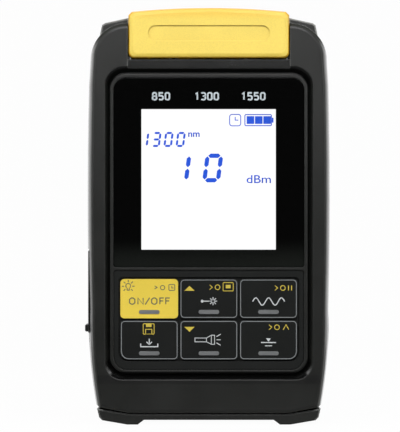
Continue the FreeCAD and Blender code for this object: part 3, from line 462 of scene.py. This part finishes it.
class Tree:
    """A Geometry Nodes tree in the making, with named sizes as its inputs."""

    def __init__(self, name, **sizes):
        self.tree = bpy.data.node_groups.new(name, "GeometryNodeTree")
        self.keys = {}
        for size, kind in sizes.items():
            socket = self.tree.interface.new_socket(size, in_out="INPUT", socket_type="NodeSocket" + kind)
            self.keys[size] = socket.identifier
        self.tree.interface.new_socket("Geometry", in_out="OUTPUT", socket_type="NodeSocketGeometry")
        self.given = self.tree.nodes.new("NodeGroupInput")

    def size(self, name):
        return next(s for s in self.given.outputs if s.name == name)

    def node(self, kind, values):
        """The first output of a new node, from its sockets' values. A list of links all go to one socket."""
        made = self.tree.nodes.new(kind)
        for name, value in values.items():
            for part in value if isinstance(value, list) else [value]:
                if isinstance(part, bpy.types.NodeSocket):
                    self.tree.links.new(part, made.inputs[name])
                else:
                    made.inputs[name].default_value = part
        return made.outputs[0] if made.outputs else None

    def painted(self, geometry, finish):
        return self.node("GeometryNodeSetMaterial", {"Geometry": geometry, "Material": finish})

    def row(self, count, step, thing):
        """Copies of a thing, one step apart, as real geometry."""
        line = self.node("GeometryNodeMeshLine", {"Count": count, "Offset": step})
        copies = self.node("GeometryNodeInstanceOnPoints", {"Points": line, "Instance": thing})
        return self.node("GeometryNodeRealizeInstances", {"Geometry": copies})

    def grow(self, name, place, sizes):
        """The tree's result as a plain mesh object, moved to its place in its mesh."""
        seed = bpy.data.objects.new(name + "_seed", bpy.data.meshes.new(name + "_seed"))
        scene.collection.objects.link(seed)
        modifier = seed.modifiers.new("grow", "NODES")
        modifier.node_group = self.tree
        for size, value in sizes.items():
            modifier[self.keys[size]] = value
        mesh = baked(seed)
        seed.modifiers.clear()
        bpy.data.objects.remove(seed)
        mesh.name = name
        for vertex in mesh.vertices:
            vertex.co += Vector(place)
        return piece(name, mesh)


def baked(thing):
    """The shape of an object, as its curve or its modifier makes it, as a new mesh."""
    graph = bpy.context.evaluated_depsgraph_get()
    return bpy.data.meshes.new_from_object(thing.evaluated_get(graph), depsgraph=graph)


def piece(name, mesh, finish=None):
    """A new piece of the scene, at the origin."""
    made = bpy.data.objects.new(name, mesh)
    if finish:
        mesh.materials.append(finish)
    scene.collection.objects.link(made)
    return made


RESISTOR_LENGTH, RESISTOR_THICK, RESISTOR_WIDE, RESISTOR_PITCH = 1.6 * MM, 0.55 * MM, 0.8 * MM, 2.6 * MM
BODY_SHARE, CAP_SHARE, CAP_THICK, CAP_WIDE = 0.8, 0.1, 1.04, 1.02
# Each row's first resistor, from the board's lower left corner in millimetres, and its count.
RESISTOR_ROWS = ((8, 72.4, 7), (8, 66.4, 7), (8, 48.4, 5), (8, 42.4, 5), (48, 48.4, 3), (48, 42.4, 3))


def resistor_row():
    """A row of chip resistors: dark bodies, each with two tinned ends."""
    tree = Tree("resistor_row", Count="Int", Pitch="Float", Body="Vector", Cap="Vector")
    body = tree.painted(tree.node("GeometryNodeMeshCube", {"Size": tree.size("Body")}), chip_black)
    cap = tree.painted(tree.node("GeometryNodeMeshCube", {"Size": tree.size("Cap")}), nickel_plate)
    shift = (BODY_SHARE + CAP_SHARE) / 2 * RESISTOR_LENGTH
    caps = [tree.node("GeometryNodeTransform", {"Geometry": cap, "Translation": (side * shift, 0, 0)})
            for side in (-1, 1)]
    whole = tree.node("GeometryNodeJoinGeometry", {"Geometry": caps + [body]})
    step = tree.node("ShaderNodeCombineXYZ", {"X": tree.size("Pitch")})
    tree.node("NodeGroupOutput", {"Geometry": tree.row(tree.size("Count"), step, whole)})
    return tree


resistors = resistor_row()
board_low, board_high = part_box("main_board")
for number, (x, z, count) in enumerate(RESISTOR_ROWS):
    first = (board_low.x + x * MM, board_high.y + RESISTOR_THICK / 2, board_low.z + z * MM)
    row = resistors.grow("chip_resistors_%d" % (number + 1), first, {
        "Count": count, "Pitch": RESISTOR_PITCH,
        "Body": (RESISTOR_LENGTH * BODY_SHARE, RESISTOR_THICK, RESISTOR_WIDE),
        "Cap": (RESISTOR_LENGTH * CAP_SHARE, RESISTOR_THICK * CAP_THICK, RESISTOR_WIDE * CAP_WIDE)})
    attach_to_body(row, "housing")

# ---- Screws ----------------------------------------
# Thread-forming steel screws, zinc plated, with a cross recess. Four in the back join the shells, and two
# hold the board to the front shell.
zinc_plate = bare_metal("zinc_plate", tone(168, 170, 172), 0.34)
dress(zinc_plate, "housing_screws", "board_screws")

# ---- Network jack and flap -------------------------
# A black nylon socket with eight sprung, gilded wires sits on the board and faces left. A soft black flap,
# which turns on two trunnions, covers it.
jack_black = moulded("jack_black", tone(32, 32, 33), tone(80, 80, 80), 0.40, 0.2 * MM, 0.012 * MM)
gold_wire = bare_metal("gold_wire", tone(226, 182, 92), 0.24)
# The flap's pale tone on its wide edges is a painted highlight, where it is seen edge on.
flap_rubber = moulded("flap_rubber", tone(30, 31, 30), tone(120, 121, 117), 0.26, 0.2 * MM, 0.010 * MM,
                      0.5 * MM, 0.7)
dress(jack_black, "network_jack")
dress(gold_wire, "jack_contacts")
dress(flap_rubber, "port_flap")

# ---- Ports -----------------------------------------
# Under the cover a black panel holds the detector's adapter, the torch, and the adapter of the red laser.
# The adapters are nickel-plated brass with a fine outside thread round a white ceramic sleeve.
adapter_nickel = bare_metal("adapter_nickel", tone(190, 188, 182), 0.26, (1, 1, 6), 0.3 * MM)
ceramic_white = moulded("ceramic_white", tone(226, 224, 218), tone(238, 238, 234), 0.25, 0.1 * MM, 0.004 * MM)
can_metal = bare_metal("can_metal", tone(198, 176, 122), 0.30)
bezel_metal = bare_metal("bezel_metal", tone(150, 152, 154), 0.30, (1, 1, 6))
dress(housing_black, "port_panel")
dress(adapter_nickel, "detector_adapter", "laser_adapter")
dress(ceramic_white, "detector_sleeve", "laser_sleeve")
dress(can_metal, "detector_can", "laser_module")
dress(bezel_metal, "torch_bezel")

CLEAR_IOR = 1.49


def clear_plastic(name, colour, roughness):
    """Moulded clear plastic with faint ripples."""
    finish = Finish(name)
    ripple = finish.noise(0.8 * MM)
    return finish.surface(Base_Color=finish.mix(ripple, colour, shade(colour, 0.9)),
                          Roughness=roughness + (ripple - 0.5) * 0.04, Transmission_Weight=0.85,
                          IOR=CLEAR_IOR, Normal=finish.bump(ripple, 0.004 * MM))


dress(clear_plastic("lens_clear", tone(250, 250, 250), 0.04), "torch_lens")
dress(clear_plastic("led_epoxy", tone(244, 236, 190), 0.12), "torch_led")
THREAD_RADIUS, THREAD_PITCH, THREAD_DEPTH, THREAD_TURNS = 4.0 * MM, 0.75 * MM, 0.16 * MM, 9
THREAD_START = 0.6 * MM


def thread_rings():
    """A stack of fine ridges round a barrel, which stand for its thread."""
    tree = Tree("thread_rings", Turns="Int", Pitch="Float", Radius="Float", Depth="Float")
    circle = "GeometryNodeCurvePrimitiveCircle"
    path = tree.node(circle, {"Resolution": 64, "Radius": tree.size("Radius")})
    ridge = tree.node(circle, {"Resolution": 6, "Radius": tree.size("Depth")})
    ring = tree.node("GeometryNodeCurveToMesh", {"Curve": path, "Profile Curve": ridge})
    step = tree.node("ShaderNodeCombineXYZ", {"Z": tree.size("Pitch")})
    rings = tree.painted(tree.row(tree.size("Turns"), step, ring), adapter_nickel)
    tree.node("NodeGroupOutput", {"Geometry": rings})
    return tree


def attach(made, body):
    """A new piece moves with its body."""
    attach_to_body(made, body)


threads = thread_rings()
for port in ("detector", "laser"):
    barrel_low, barrel_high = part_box(port + "_adapter")
    middle = (barrel_low + barrel_high) / 2
    lowest_z = barrel_high.z - THREAD_START - (THREAD_TURNS - 1) * THREAD_PITCH
    thread = threads.grow(port + "_thread", (middle.x, middle.y, lowest_z), {
        "Turns": THREAD_TURNS, "Pitch": THREAD_PITCH, "Radius": THREAD_RADIUS, "Depth": THREAD_DEPTH})
    attach(thread, "housing")

# ---- Display ---------------------------------------
# A reflective liquid crystal with a white backlight. Its frame and rubber contact strip sit on the board.
# Blue segments show the wavelength and the reading.
LCD_WHITE, SEGMENT_BLUE = tone(255, 255, 255), tone(3, 68, 190)
frame_grey = moulded("frame_grey", tone(188, 188, 184), tone(210, 210, 206), 0.5)
strip_rubber = moulded("strip_rubber", tone(92, 60, 56), tone(120, 90, 86), 0.7)


def lit_panel(name, colour, strength):
    """A panel that glows evenly, with a barely visible drift in its light."""
    finish = Finish(name)
    drift = finish.noise(14 * MM, 1.0)
    glow = finish.mix(drift, shade(colour, 0.97), colour)
    return finish.surface(Base_Color=finish.mix(drift, tone(60, 62, 64), tone(66, 68, 70)),
                          Roughness=0.25 + (drift - 0.5) * 0.1, Emission_Color=glow,
                          Emission_Strength=strength)


dress(lit_panel("lit_glass", LCD_WHITE, 1.05), "lcd_glass")
dress(lit_panel("light_guide_white", LCD_WHITE, 0.6), "backlight_panel")
dress(frame_grey, "lcd_frame")
dress(strip_rubber, "zebra_strip")
FILM, MITRE_LIMIT, RING_STEPS, DISC_STEPS, CORNER_STEPS = 0.02 * MM, 0.25, 24, 20, 6
# Widths of drawn lines, in millimetres.
FAINT, FINE, THIN, PLAIN, FIRM, HEAVY, BOLD = 0.18, 0.2, 0.22, 0.24, 0.26, 0.28, 0.3


class Print:
    """A flat drawing in the front plane, in millimetres from a place, which becomes a thin film of ink."""

    def __init__(self, place):
        self.x, self.z, self.shapes = place.x / MM, place.z / MM, []

    def area(self, points):
        self.shapes.append([(self.x + x, self.z + z) for x, z in points])
        return self

    def stroke(self, points, width, closed=False):
        """A line of even width through the points, with mitred corners."""
        points, sides = [Vector(point) for point in points], []
        count = len(points)
        for i, here in enumerate(points):
            before = points[i - 1] if i or closed else None
            after = points[(i + 1) % count] if i < count - 1 or closed else None
            ways = [(b - a).normalized() for a, b in ((before, here), (here, after)) if a and b]
            way = sum(ways, Vector((0, 0))) / len(ways)
            out = Vector((-way.y, way.x)) * (width / 2 / max(way.length_squared, MITRE_LIMIT))
            sides.append((here + out, here - out))
        for i in range(count if closed else count - 1):
            (left, right), (next_left, next_right) = sides[i], sides[(i + 1) % count]
            self.area([left, next_left, next_right, right])
        return self

    def ring(self, x, z, radius, width, start=0, end=360):
        turns = [start + (end - start) * i / RING_STEPS for i in range(RING_STEPS + 1)]
        points, whole = around(x, z, radius, turns), end - start == 360
        return self.stroke(points[:-1] if whole else points, width, whole)

    def disc(self, x, z, radius):
        return self.area(around(x, z, radius, [360 * i / DISC_STEPS for i in range(DISC_STEPS)]))

    def frame(self, x0, x1, z0, z1, radius, width, lower_radii=None):
        """A rounded outline. Its lower left and lower right corners can have radii of their own."""
        radii = (*(lower_radii or (radius, radius)), radius, radius)
        return self.stroke(rounded_corners(x0, x1, z0, z1, radii), width, True)

    def panel(self, x0, x1, z0, z1, radius):
        return self.area(rounded_corners(x0, x1, z0, z1, (radius,) * 4))

    def laid(self, name, y, finish, body, slot):
        """The drawing as closed plates, a film's thickness deep, in front of y on a body."""
        mesh, form = bpy.data.meshes.new(name), bmesh.new()
        for points in self.shapes:
            area = sum(a[0] * b[1] - b[0] * a[1] for a, b in zip(points, points[1:] + points[:1]))
            loop = points if area > 0 else points[::-1]
            front = [form.verts.new((x * MM, y - FILM, z * MM)) for x, z in loop]
            back = [form.verts.new((x * MM, y, z * MM)) for x, z in loop]
            form.faces.new(front)
            form.faces.new(back[::-1])
            for i in range(len(loop)):
                j = (i + 1) % len(loop)
                form.faces.new((front[j], front[i], back[i], back[j]))
        form.to_mesh(mesh)
        form.free()
        attach(piece(name, mesh, finish), body)


def rounded_corners(x0, x1, z0, z1, radii):
    """A rounded rectangle's outline, from its lower left corner round by the lower right."""
    points = []
    for (x, z, turn), r in zip(((x0, z0, 180), (x1, z0, 270), (x1, z1, 0), (x0, z1, 90)), radii):
        cx, cz = x + (r if x == x0 else -r), z + (r if z == z0 else -r)
        points += around(cx, cz, r, [turn + 90 * i / CORNER_STEPS for i in range(CORNER_STEPS + 1)])
    return points


def around(x, z, radius, turns):
    """Points on a circle round x, z, one to a turn in degrees."""
    turns = [math.radians(turn) for turn in turns]
    return [(x + radius * math.cos(turn), z + radius * math.sin(turn)) for turn in turns]


def lettering(drawing, name, words, x, z, width, height, y, finish, body, slot, weight):
    """Words as a film in front of y, centred on x with their foot at z, measured from a drawing's place."""
    curve = bpy.data.curves.new(name, "FONT")
    curve.body, curve.size, curve.offset, curve.resolution_u = words, 1.0, weight, 6
    maker = bpy.data.objects.new(name + "_maker", curve)
    scene.collection.objects.link(maker)
    mesh = baked(maker)
    bpy.data.objects.remove(maker)
    xs, ys = [v.co.x for v in mesh.vertices], [v.co.y for v in mesh.vertices]
    wide, tall = width / (max(xs) - min(xs)), height / (max(ys) - min(ys))
    middle, foot = (max(xs) + min(xs)) / 2, min(ys)
    for v in mesh.vertices:
        across, up = (v.co.x - middle) * wide, (v.co.y - foot) * tall
        v.co = ((drawing.x + x + across) * MM, y - FILM, (drawing.z + z + up) * MM)
    form = bmesh.new()
    form.from_mesh(mesh)
    bmesh.ops.remove_doubles(form, verts=form.verts, dist=1e-7)
    walls = bmesh.ops.extrude_face_region(form, geom=form.faces[:])["geom"]
    for v in (g for g in walls if isinstance(g, bmesh.types.BMVert)):
        v.co.y += FILM
    bmesh.ops.recalc_face_normals(form, faces=form.faces[:])
    form.to_mesh(mesh)
    form.free()
    mesh.materials.clear()
    attach(piece(name, mesh, finish), body)


def ink(name, colour, worn, roughness=0.5, wear=0.25):
    """Screen-printed ink: grain of the plastic under it, and small worn spots."""
    finish = Finish(name)
    spots, fine = finish.noise(0.35 * MM, 4.0), finish.noise(0.12 * MM)
    return finish.surface(Base_Color=finish.mix(spots.step(0.60, 0.85) * wear, colour, worn),
                          Roughness=roughness + (spots - 0.5) * 0.2,
                          Normal=finish.bump(fine, 0.005 * MM))


def lit_ink(name, colour, strength):
    """A liquid crystal's segments, which glow a little in the panel's light."""
    finish = Finish(name)
    drift = finish.noise(1.5 * MM)
    return finish.surface(Base_Color=finish.mix(drift, colour, shade(colour, 0.8)),
                          Roughness=0.4 + (drift - 0.5) * 0.1, Emission_Color=colour,
                          Emission_Strength=strength)


segment_blue = lit_ink("segment_blue", SEGMENT_BLUE, 0.60)
DIGIT_BARS = {"0": "abcdef", "1": "bc", "3": "abgcd"}
SEGMENT_LEAN, SEGMENT_GAP = 0.13, 0.14
# A figure's height, its bars' width, and its share of its cell's width.
SMALL_FIGURE, LARGE_FIGURE = (4.35, 0.62, 0.53), (8.3, 1.25, 0.62)


def digit(drawing, figure, x, z, width, height, bar):
    """A seven-bar figure that leans to the right. Its foot starts at x, z."""
    half, gap, inset = height / 2, bar * SEGMENT_GAP, bar / 2
    runs = {"a": (0, height, width, height), "b": (width, half, width, height),
            "c": (width, 0, width, half), "d": (0, 0, width, 0), "e": (0, 0, 0, half),
            "f": (0, half, 0, height), "g": (0, half, width, half)}
    for name in DIGIT_BARS[figure]:
        start, end = Vector(runs[name][:2]), Vector(runs[name][2:])
        along = (end - start).normalized()
        across = Vector((along.y, along.x))
        start, end = start + along * gap, end - along * gap
        outward, inward = (along + across) * inset, (along - across) * inset
        corners = (start, start + outward, end - inward, end, end - outward, start + inward)
        drawing.area([(x + corner.x + SEGMENT_LEAN * corner.y, z + corner.y) for corner in corners])


def figures(drawing, number, x0, x1, z, height, bar, share):
    """A number set between x0 and x1, one cell to a figure."""
    cell = (x1 - x0) / len(number)
    for place, figure in enumerate(number):
        digit(drawing, figure, x0 + place * cell + bar / 2, z + bar / 2, cell * share, height - bar, bar)


# Places on the display are in millimetres from the lower left corner of its glass.
lcd_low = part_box("lcd_glass")[0]
reading = Print(lcd_low)
figures(reading, "1300", 2.3, 16.3, 31.6, *SMALL_FIGURE)
figures(reading, "1", 11.3, 17.6, 21.4, *LARGE_FIGURE)
figures(reading, "0", 20.5, 26.8, 21.4, *LARGE_FIGURE)
reading.frame(28.4, 31.6, 37.7, 41.0, 0.7, FIRM)
reading.stroke([(30.0, 40.3), (30.0, 39.35), (30.9, 39.35)], FIRM)
reading.frame(32.8, 40.45, 37.75, 40.95, 0.35, HEAVY)
reading.panel(40.6, 41.05, 38.6, 40.05, 0.15)
for column in range(3):
    reading.panel(33.3 + 2.4 * column, 35.5 + 2.4 * column, 38.25, 40.5, 0.1)
on_glass = (lcd_low.y, segment_blue, "housing", "lcd_glass")
reading.laid("lcd_figures", *on_glass)
lettering(reading, "lcd_unit_nm", "nm", 18.1, 34.5, 3.3, 1.3, *on_glass, 0.02)
lettering(reading, "lcd_unit_dbm", "dBm", 36.8, 21.2, 7.0, 2.3, *on_glass, 0.005)

# ---- Window ----------------------------------------
# A clear acrylic pane, printed glossy black on its back apart from the view of the display. The numbers
# of the calibrated wavelengths are printed above the view.
# Places on the window are from the lower left corner of its pane.
VIEW_ACROSS, VIEW_HEIGHTS = (7.95 * MM, 46.7 * MM), (5.0 * MM, 45.5 * MM)
# The lighter band along the pane's foot is a painted reflection.
LOW_REFLECTION_HEIGHTS, VIEW_CORNER, VIEW_EDGE, PANE_EDGE = (0.6 * MM, 8.6 * MM), 0.15 * MM, 0.04 * MM, 0.15 * MM
WINDOW_BLACK, WINDOW_WIPED, LOW_REFLECTION_TONE = tone(2, 2, 2), tone(5, 5, 5), tone(24, 26, 24)
window_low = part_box("display_window")[0]


def window_pane(name):
    """Glossy black with a clear rectangle, faint wipe marks, and a lighter band above the keys, a painted
    reflection.
    """
    finish = Finish(name)
    left, right = (window_low.x + x for x in VIEW_ACROSS)
    foot, top = (window_low.z + z for z in VIEW_HEIGHTS)
    reach = rounded_reach(finish, left, right, foot, top, VIEW_CORNER)
    printed = reach.step(VIEW_CORNER - VIEW_EDGE, VIEW_CORNER + VIEW_EDGE)
    wipes = finish.noise(3 * MM, 3.0, (1, 1, 3))
    rounded = finish.edges(PANE_EDGE)[0]
    low_reflection = 1 - (finish.axes()[2] - window_low.z).step(*LOW_REFLECTION_HEIGHTS)
    black = finish.mix(wipes, WINDOW_BLACK, WINDOW_WIPED)
    return finish.surface(Base_Color=finish.mix(low_reflection, black, LOW_REFLECTION_TONE),
                          Roughness=0.05 + (wipes - 0.4) * 0.06, IOR=CLEAR_IOR, Alpha=0.02 + printed * 0.98,
                          Normal=finish.bump(wipes, 0.002 * MM, rounded))


dress(window_pane("window_black"), "display_window")
title_ink = ink("title_ink", tone(196, 206, 212), tone(150, 158, 164), 0.45, 0.1)
# Corners of each figure's and letter's even strokes, in a cell one wide and two high.
GLYPHS = {
    "0": [[(0.25, 0), (0.75, 0), (1, 0.3), (1, 1.7), (0.75, 2), (0.25, 2), (0, 1.7), (0, 0.3), (0.25, 0)]],
    "1": [[(0.2, 1.6), (0.6, 2), (0.6, 0)]],
    "3": [[(0, 1.85), (0.25, 2), (0.75, 2), (1, 1.7), (1, 1.35), (0.75, 1.05), (0.35, 1.05)],
          [(0.75, 1.05), (1, 0.75), (1, 0.3), (0.75, 0), (0.25, 0), (0, 0.15)]],
    "5": [[(1, 2), (0.1, 2), (0.05, 1.15), (0.7, 1.15), (1, 0.85), (1, 0.3), (0.75, 0), (0.25, 0),
           (0, 0.15)]],
    "8": [[(0.25, 0), (0.75, 0), (1, 0.3), (1, 0.75), (0.75, 1.05), (0.25, 1.05), (0, 0.75), (0, 0.3),
           (0.25, 0)],
          [(0.25, 1.05), (0.05, 1.3), (0.05, 1.7), (0.25, 2), (0.75, 2), (0.95, 1.7), (0.95, 1.3),
           (0.75, 1.05)]],
    "O": [[(0.35, 0), (0.65, 0), (1, 0.45), (1, 1.55), (0.65, 2), (0.35, 2), (0, 1.55), (0, 0.45),
           (0.35, 0)]],
    "N": [[(0, 0), (0, 2), (1, 0), (1, 2)]],
    "/": [[(0, -0.1), (0.85, 2.1)]],
    "F": [[(0, 0), (0, 2), (0.75, 2)], [(0, 1.05), (0.65, 1.05)]]}
FIGURE_WIDTH, FIGURE_HEIGHT, FIGURE_PITCH, FIGURE_LINE = 1.15, 1.95, 1.85, 0.46


def stroked(drawing, glyph, x, z, width, height, line):
    """A figure or a letter in even strokes, with its lower left at x, z."""
    for run in GLYPHS[glyph]:
        drawing.stroke([(x + px * width, z + pz * height / 2) for px, pz in run], line)


wavelengths = Print(window_low)
for number, x in (("850", 11.2), ("1300", 23.4), ("1550", 36.8)):
    for place, figure in enumerate(number):
        stroked(wavelengths, figure, x + place * FIGURE_PITCH, 48.2, FIGURE_WIDTH, FIGURE_HEIGHT, FIGURE_LINE)
wavelengths.laid("wavelength_numbers", window_low.y, title_ink, "housing", "window_glass")

# ---- Keypad ----------------------------------------
# Six stiff caps with silver bars sit in one field of a soft black mat. The first cap is yellow. Each is
# screen printed, and presses a switch on the board.
# The pill under a key's bar stands this proud of the printed face.
PILL_PROUD, KEY_GLOSS = 0.12 * MM, 0.25
mat_rubber = moulded("mat_rubber", tone(19, 21, 20), tone(40, 42, 40), 0.46, 0.22 * MM, 0.014 * MM, wear=0.3,
                     gloss=KEY_GLOSS)
key_dark = moulded("key_dark", tone(17, 19, 18), tone(50, 52, 52), 0.42, 0.18 * MM, 0.012 * MM,
                   0.15 * MM, 0.4, gloss=KEY_GLOSS)
key_yellow = moulded("key_yellow", tone(232, 204, 70), tone(244, 222, 120), 0.45, 0.18 * MM, 0.010 * MM,
                     0.15 * MM, 0.4)
outline_grey = ink("outline_grey", tone(126, 130, 132), tone(90, 92, 94))
print_grey = ink("print_grey", tone(196, 200, 202), tone(150, 154, 156))
print_dark = ink("print_dark", tone(98, 98, 80), tone(128, 122, 86))
print_yellow = ink("print_yellow", tone(206, 184, 66), tone(170, 152, 58))
bar_silver = bare_metal("bar_silver", tone(160, 162, 164), 0.42, (1, 1, 8), 0.1 * MM)
dress(mat_rubber, "keypad_mat")
BAR_ACROSS, BAR_UP, BAR_MIDDLE, BAR_RADIUS = 2.95, 0.58, -3.8, 0.55
OUTLINE_INSET, OUTLINE_RADIUS, FIELD_RADIUS, RING_RADIUS = 0.28, 0.95, 2.1, 0.68
LETTER_WIDTH, LETTER_HEIGHT, LETTER_LINE, LETTER_FOOT = 1.5, 1.8, 0.33, -1.58


def print_key(key, name, drawing, finish, depth=PILL_PROUD):
    """A drawing printed on a key, behind the key's foremost face by a depth."""
    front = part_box("key_" + key)[0].y
    drawing.laid(key + "_" + name, front + depth, finish, "key_" + key + "_body", "key_plastic")


def on_key(key):
    """An empty drawing, in millimetres from the middle of a key."""
    low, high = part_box("key_" + key)
    return Print((low + high) / 2)


for key in KEYS:
    dress(key_yellow if key == "on_off" else key_dark, "key_" + key)
    silver = on_key(key).panel(-BAR_ACROSS, BAR_ACROSS, BAR_MIDDLE - BAR_UP, BAR_MIDDLE + BAR_UP, BAR_RADIUS)
    print_key(key, "bar", silver, bar_silver, 0)
    if key != "on_off":
        low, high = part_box("key_" + key)
        half = (high - low) / 2 / MM
        across, up = half.x - OUTLINE_INSET, half.z - OUTLINE_INSET
        lower_radii = [FIELD_RADIUS if key == corner else OUTLINE_RADIUS for corner in ("save", "reference")]
        border = on_key(key).frame(-across, across, -up, up, OUTLINE_RADIUS, THIN, lower_radii)
        print_key(key, "outline", border, outline_grey)


def rays(drawing, x, z, inner, outer, width, turns):
    """Short lines that point away from x, z, one to a turn in degrees."""
    for ends in zip(around(x, z, inner, turns), around(x, z, outer, turns)):
        drawing.stroke(ends, width)
    return drawing


def arrow_and_ring(drawing, x, z, width):
    """A pointer to the right at x, z, and a small ring beside it."""
    drawing.stroke([(x, z + 0.7), (x + 0.8, z), (x, z - 0.7)], width)
    return drawing.ring(x + 2.3, z, RING_RADIUS, THIN)


lit = rays(on_key("on_off"), -6.05, 3.6, 1.15, 1.85, FIRM, (0, 45, 90, 135, 180, 225, 315))
lit.ring(-6.05, 3.7, RING_RADIUS, FIRM, -50, 230)
lit.stroke([(-6.35, 3.1), (-6.35, 2.45), (-5.75, 2.45), (-5.75, 3.1)], FIRM)
lit.frame(5.65, 7.35, 2.4, 4.1, 0.25, PLAIN).stroke([(6.5, 3.7), (6.5, 3.1), (7.0, 3.1)], PLAIN)
lit.stroke([(1.55, 3.7), (2.25, 3.25), (1.55, 2.8)], PLAIN).ring(3.85, 3.2, 0.62, PLAIN)
print_key("on_off", "marks", lit, print_dark)
switch_words = on_key("on_off")
for letter, x in (("O", -5.65), ("N", -3.25), ("/", -1.15), ("O", 0.7), ("F", 3.05), ("F", 4.75)):
    stroked(switch_words, letter, x, LETTER_FOOT, LETTER_WIDTH, LETTER_HEIGHT, LETTER_LINE)
print_key("on_off", "words", switch_words, print_dark)

for key, z, way in (("fault_laser", 2.3, 1), ("torch", 3.8, -1)):
    triangle = on_key(key).area([(-7.05, z), (-4.1, z), (-5.58, z + 1.4 * way)])
    if key == "fault_laser":
        triangle.frame(4.1, 7.0, 2.25, 4.65, 0.2, FINE).panel(4.85, 6.25, 3.0, 4.0, 0.1)
        arrow_and_ring(triangle, 0.2, 3.3, FINE)
    print_key(key, "triangle", triangle, print_yellow)

beam = on_key("fault_laser").disc(-1.9, -0.7, 0.42).stroke([(-1.5, -0.7), (0.4, -0.7)], BOLD)
rays(beam, 1.2, -0.7, 0.35, 1.15, FIRM, range(0, 360, 45))
print_key("fault_laser", "beam", beam, print_grey)

WAVE_LENGTH, WAVE_SWING, WAVE_COUNT, WAVE_STEPS = 9.2, 1.05, 2.5, 60
shares = [step / WAVE_STEPS for step in range(WAVE_STEPS + 1)]
wave = on_key("wavelength").stroke([
    (0.05 + WAVE_LENGTH * (share - 0.5), -0.8 + WAVE_SWING * math.sin(2 * math.pi * WAVE_COUNT * share))
    for share in shares], BOLD)
print_key("wavelength", "wave", wave, print_grey)
wave_marks = arrow_and_ring(on_key("wavelength"), 1.85, 3.1, THIN)
wave_marks.stroke([(5.75, 2.4), (5.75, 3.8)], PLAIN).stroke([(6.65, 2.4), (6.65, 3.8)], PLAIN)
print_key("wavelength", "marks", wave_marks, print_yellow)

disk = on_key("save").frame(-1.75, 1.4, 1.7, 4.7, 0.3, FINE)
disk.frame(-1.05, 0.75, 1.75, 3.1, 0.05, THIN).panel(-0.95, 0.65, 3.8, 4.6, 0.05)
print_key("save", "disk", disk, print_yellow)
arrow = on_key("save").stroke([(0, 0.4), (0, -1.2)], BOLD)
arrow.stroke([(-0.8, -0.5), (0, -1.25), (0.8, -0.5)], BOLD)
arrow.stroke([(-2.45, -1.0), (-2.45, -1.9), (2.45, -1.9), (2.45, -1.0)], BOLD)
print_key("save", "arrow", arrow, print_grey)

torch = on_key("torch").stroke([(-4.0, -0.5), (-0.7, -0.5), (-0.7, 0.6), (-4.0, 0.6)], FINE, True)
torch.stroke([(-0.7, -0.5), (0.7, -1.2), (1.65, -1.2), (1.65, 1.4), (0.7, 1.4), (-0.7, 0.6)], FINE)
torch.stroke([(0.7, -1.2), (0.7, 1.4)], FAINT)
torch.stroke([(2.2, 0.1), (3.4, 0.1)], THIN).stroke([(2.2, 1.0), (3.4, 1.7)], THIN)
torch.stroke([(2.2, -0.8), (3.4, -1.5)], THIN)
print_key("torch", "lamp", torch, print_grey)

level = on_key("reference").stroke([(-2.15, -0.7), (2.15, -0.7)], BOLD)
level.area([(-0.7, 0.5), (0, -0.45), (0.7, 0.5)]).stroke([(-1.05, -1.65), (1.05, -1.65)], FIRM)
print_key("reference", "level", level, print_grey)
set_marks = arrow_and_ring(on_key("reference"), 0.15, 3.7, THIN)
set_marks.stroke([(4.25, 3.0), (5.05, 4.4), (5.85, 3.0)], THIN)
print_key("reference", "marks", set_marks, print_yellow)

# ---- Flip cover ------------------------------------
# A hollow yellow ABS cap, satin, which turns on two steel pins in the ears. A shallow rounded field on its
# face is a finger rest.
COVER_DEPTHS, CROWN_HEIGHTS, GRIP_ASIDE = (1.5 * MM, 3.0 * MM), (-4 * MM, -1 * MM), (20.0 * MM, 20.5 * MM)
GRIP_FOOT, GRIP_TOP = (-13 * MM, -12.5 * MM), (-4 * MM, -3.5 * MM)
# Painted shade: deeper yellows where the cap turns away.
CROWN_SHADE_TONE, TURNED_SHADE_TONE = tone(252, 196, 52), tone(246, 186, 26)
cover_low, cover_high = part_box("flip_cover")


def cover_zones(finish):
    """The yellow is painted deeper, as shade, where the cap turns away: over its crown, round its lower edge
    and in the walls of the grip, which is moulded with soft edges."""
    x, y, z = finish.axes()
    depth, height = y - cover_low.y, z - cover_high.z
    turned = finish.facing("Y").step(-0.97, -0.7) * (1 - depth.step(*COVER_DEPTHS))
    grip = height.step(*GRIP_FOOT) * (1 - height.step(*GRIP_TOP)) * (1 - x.math("ABSOLUTE").step(*GRIP_ASIDE))
    return {"tints": [(height.step(*CROWN_HEIGHTS) * 0.5, CROWN_SHADE_TONE), (turned * 0.85, TURNED_SHADE_TONE)],
            "soft": turned * grip}


# Its worn tone is a deeper orange, painted shade round the cover's edges.
cover_yellow = moulded("cover_yellow", tone(255, 226, 104), tone(226, 168, 36), 0.42, 0.3 * MM, 0.010 * MM,
                       0.35 * MM, 0.3, cover_zones)
dress(cover_yellow, "flip_cover")
dress(zinc_plate, "hinge_pin_left", "hinge_pin_right")

# ---- Battery door ----------------------------------
# A flat lid in the back, moulded in the housing's black ABS and held by its own snaps. It has cross grooves
# to push on.
dress(housing_black, "battery_door")
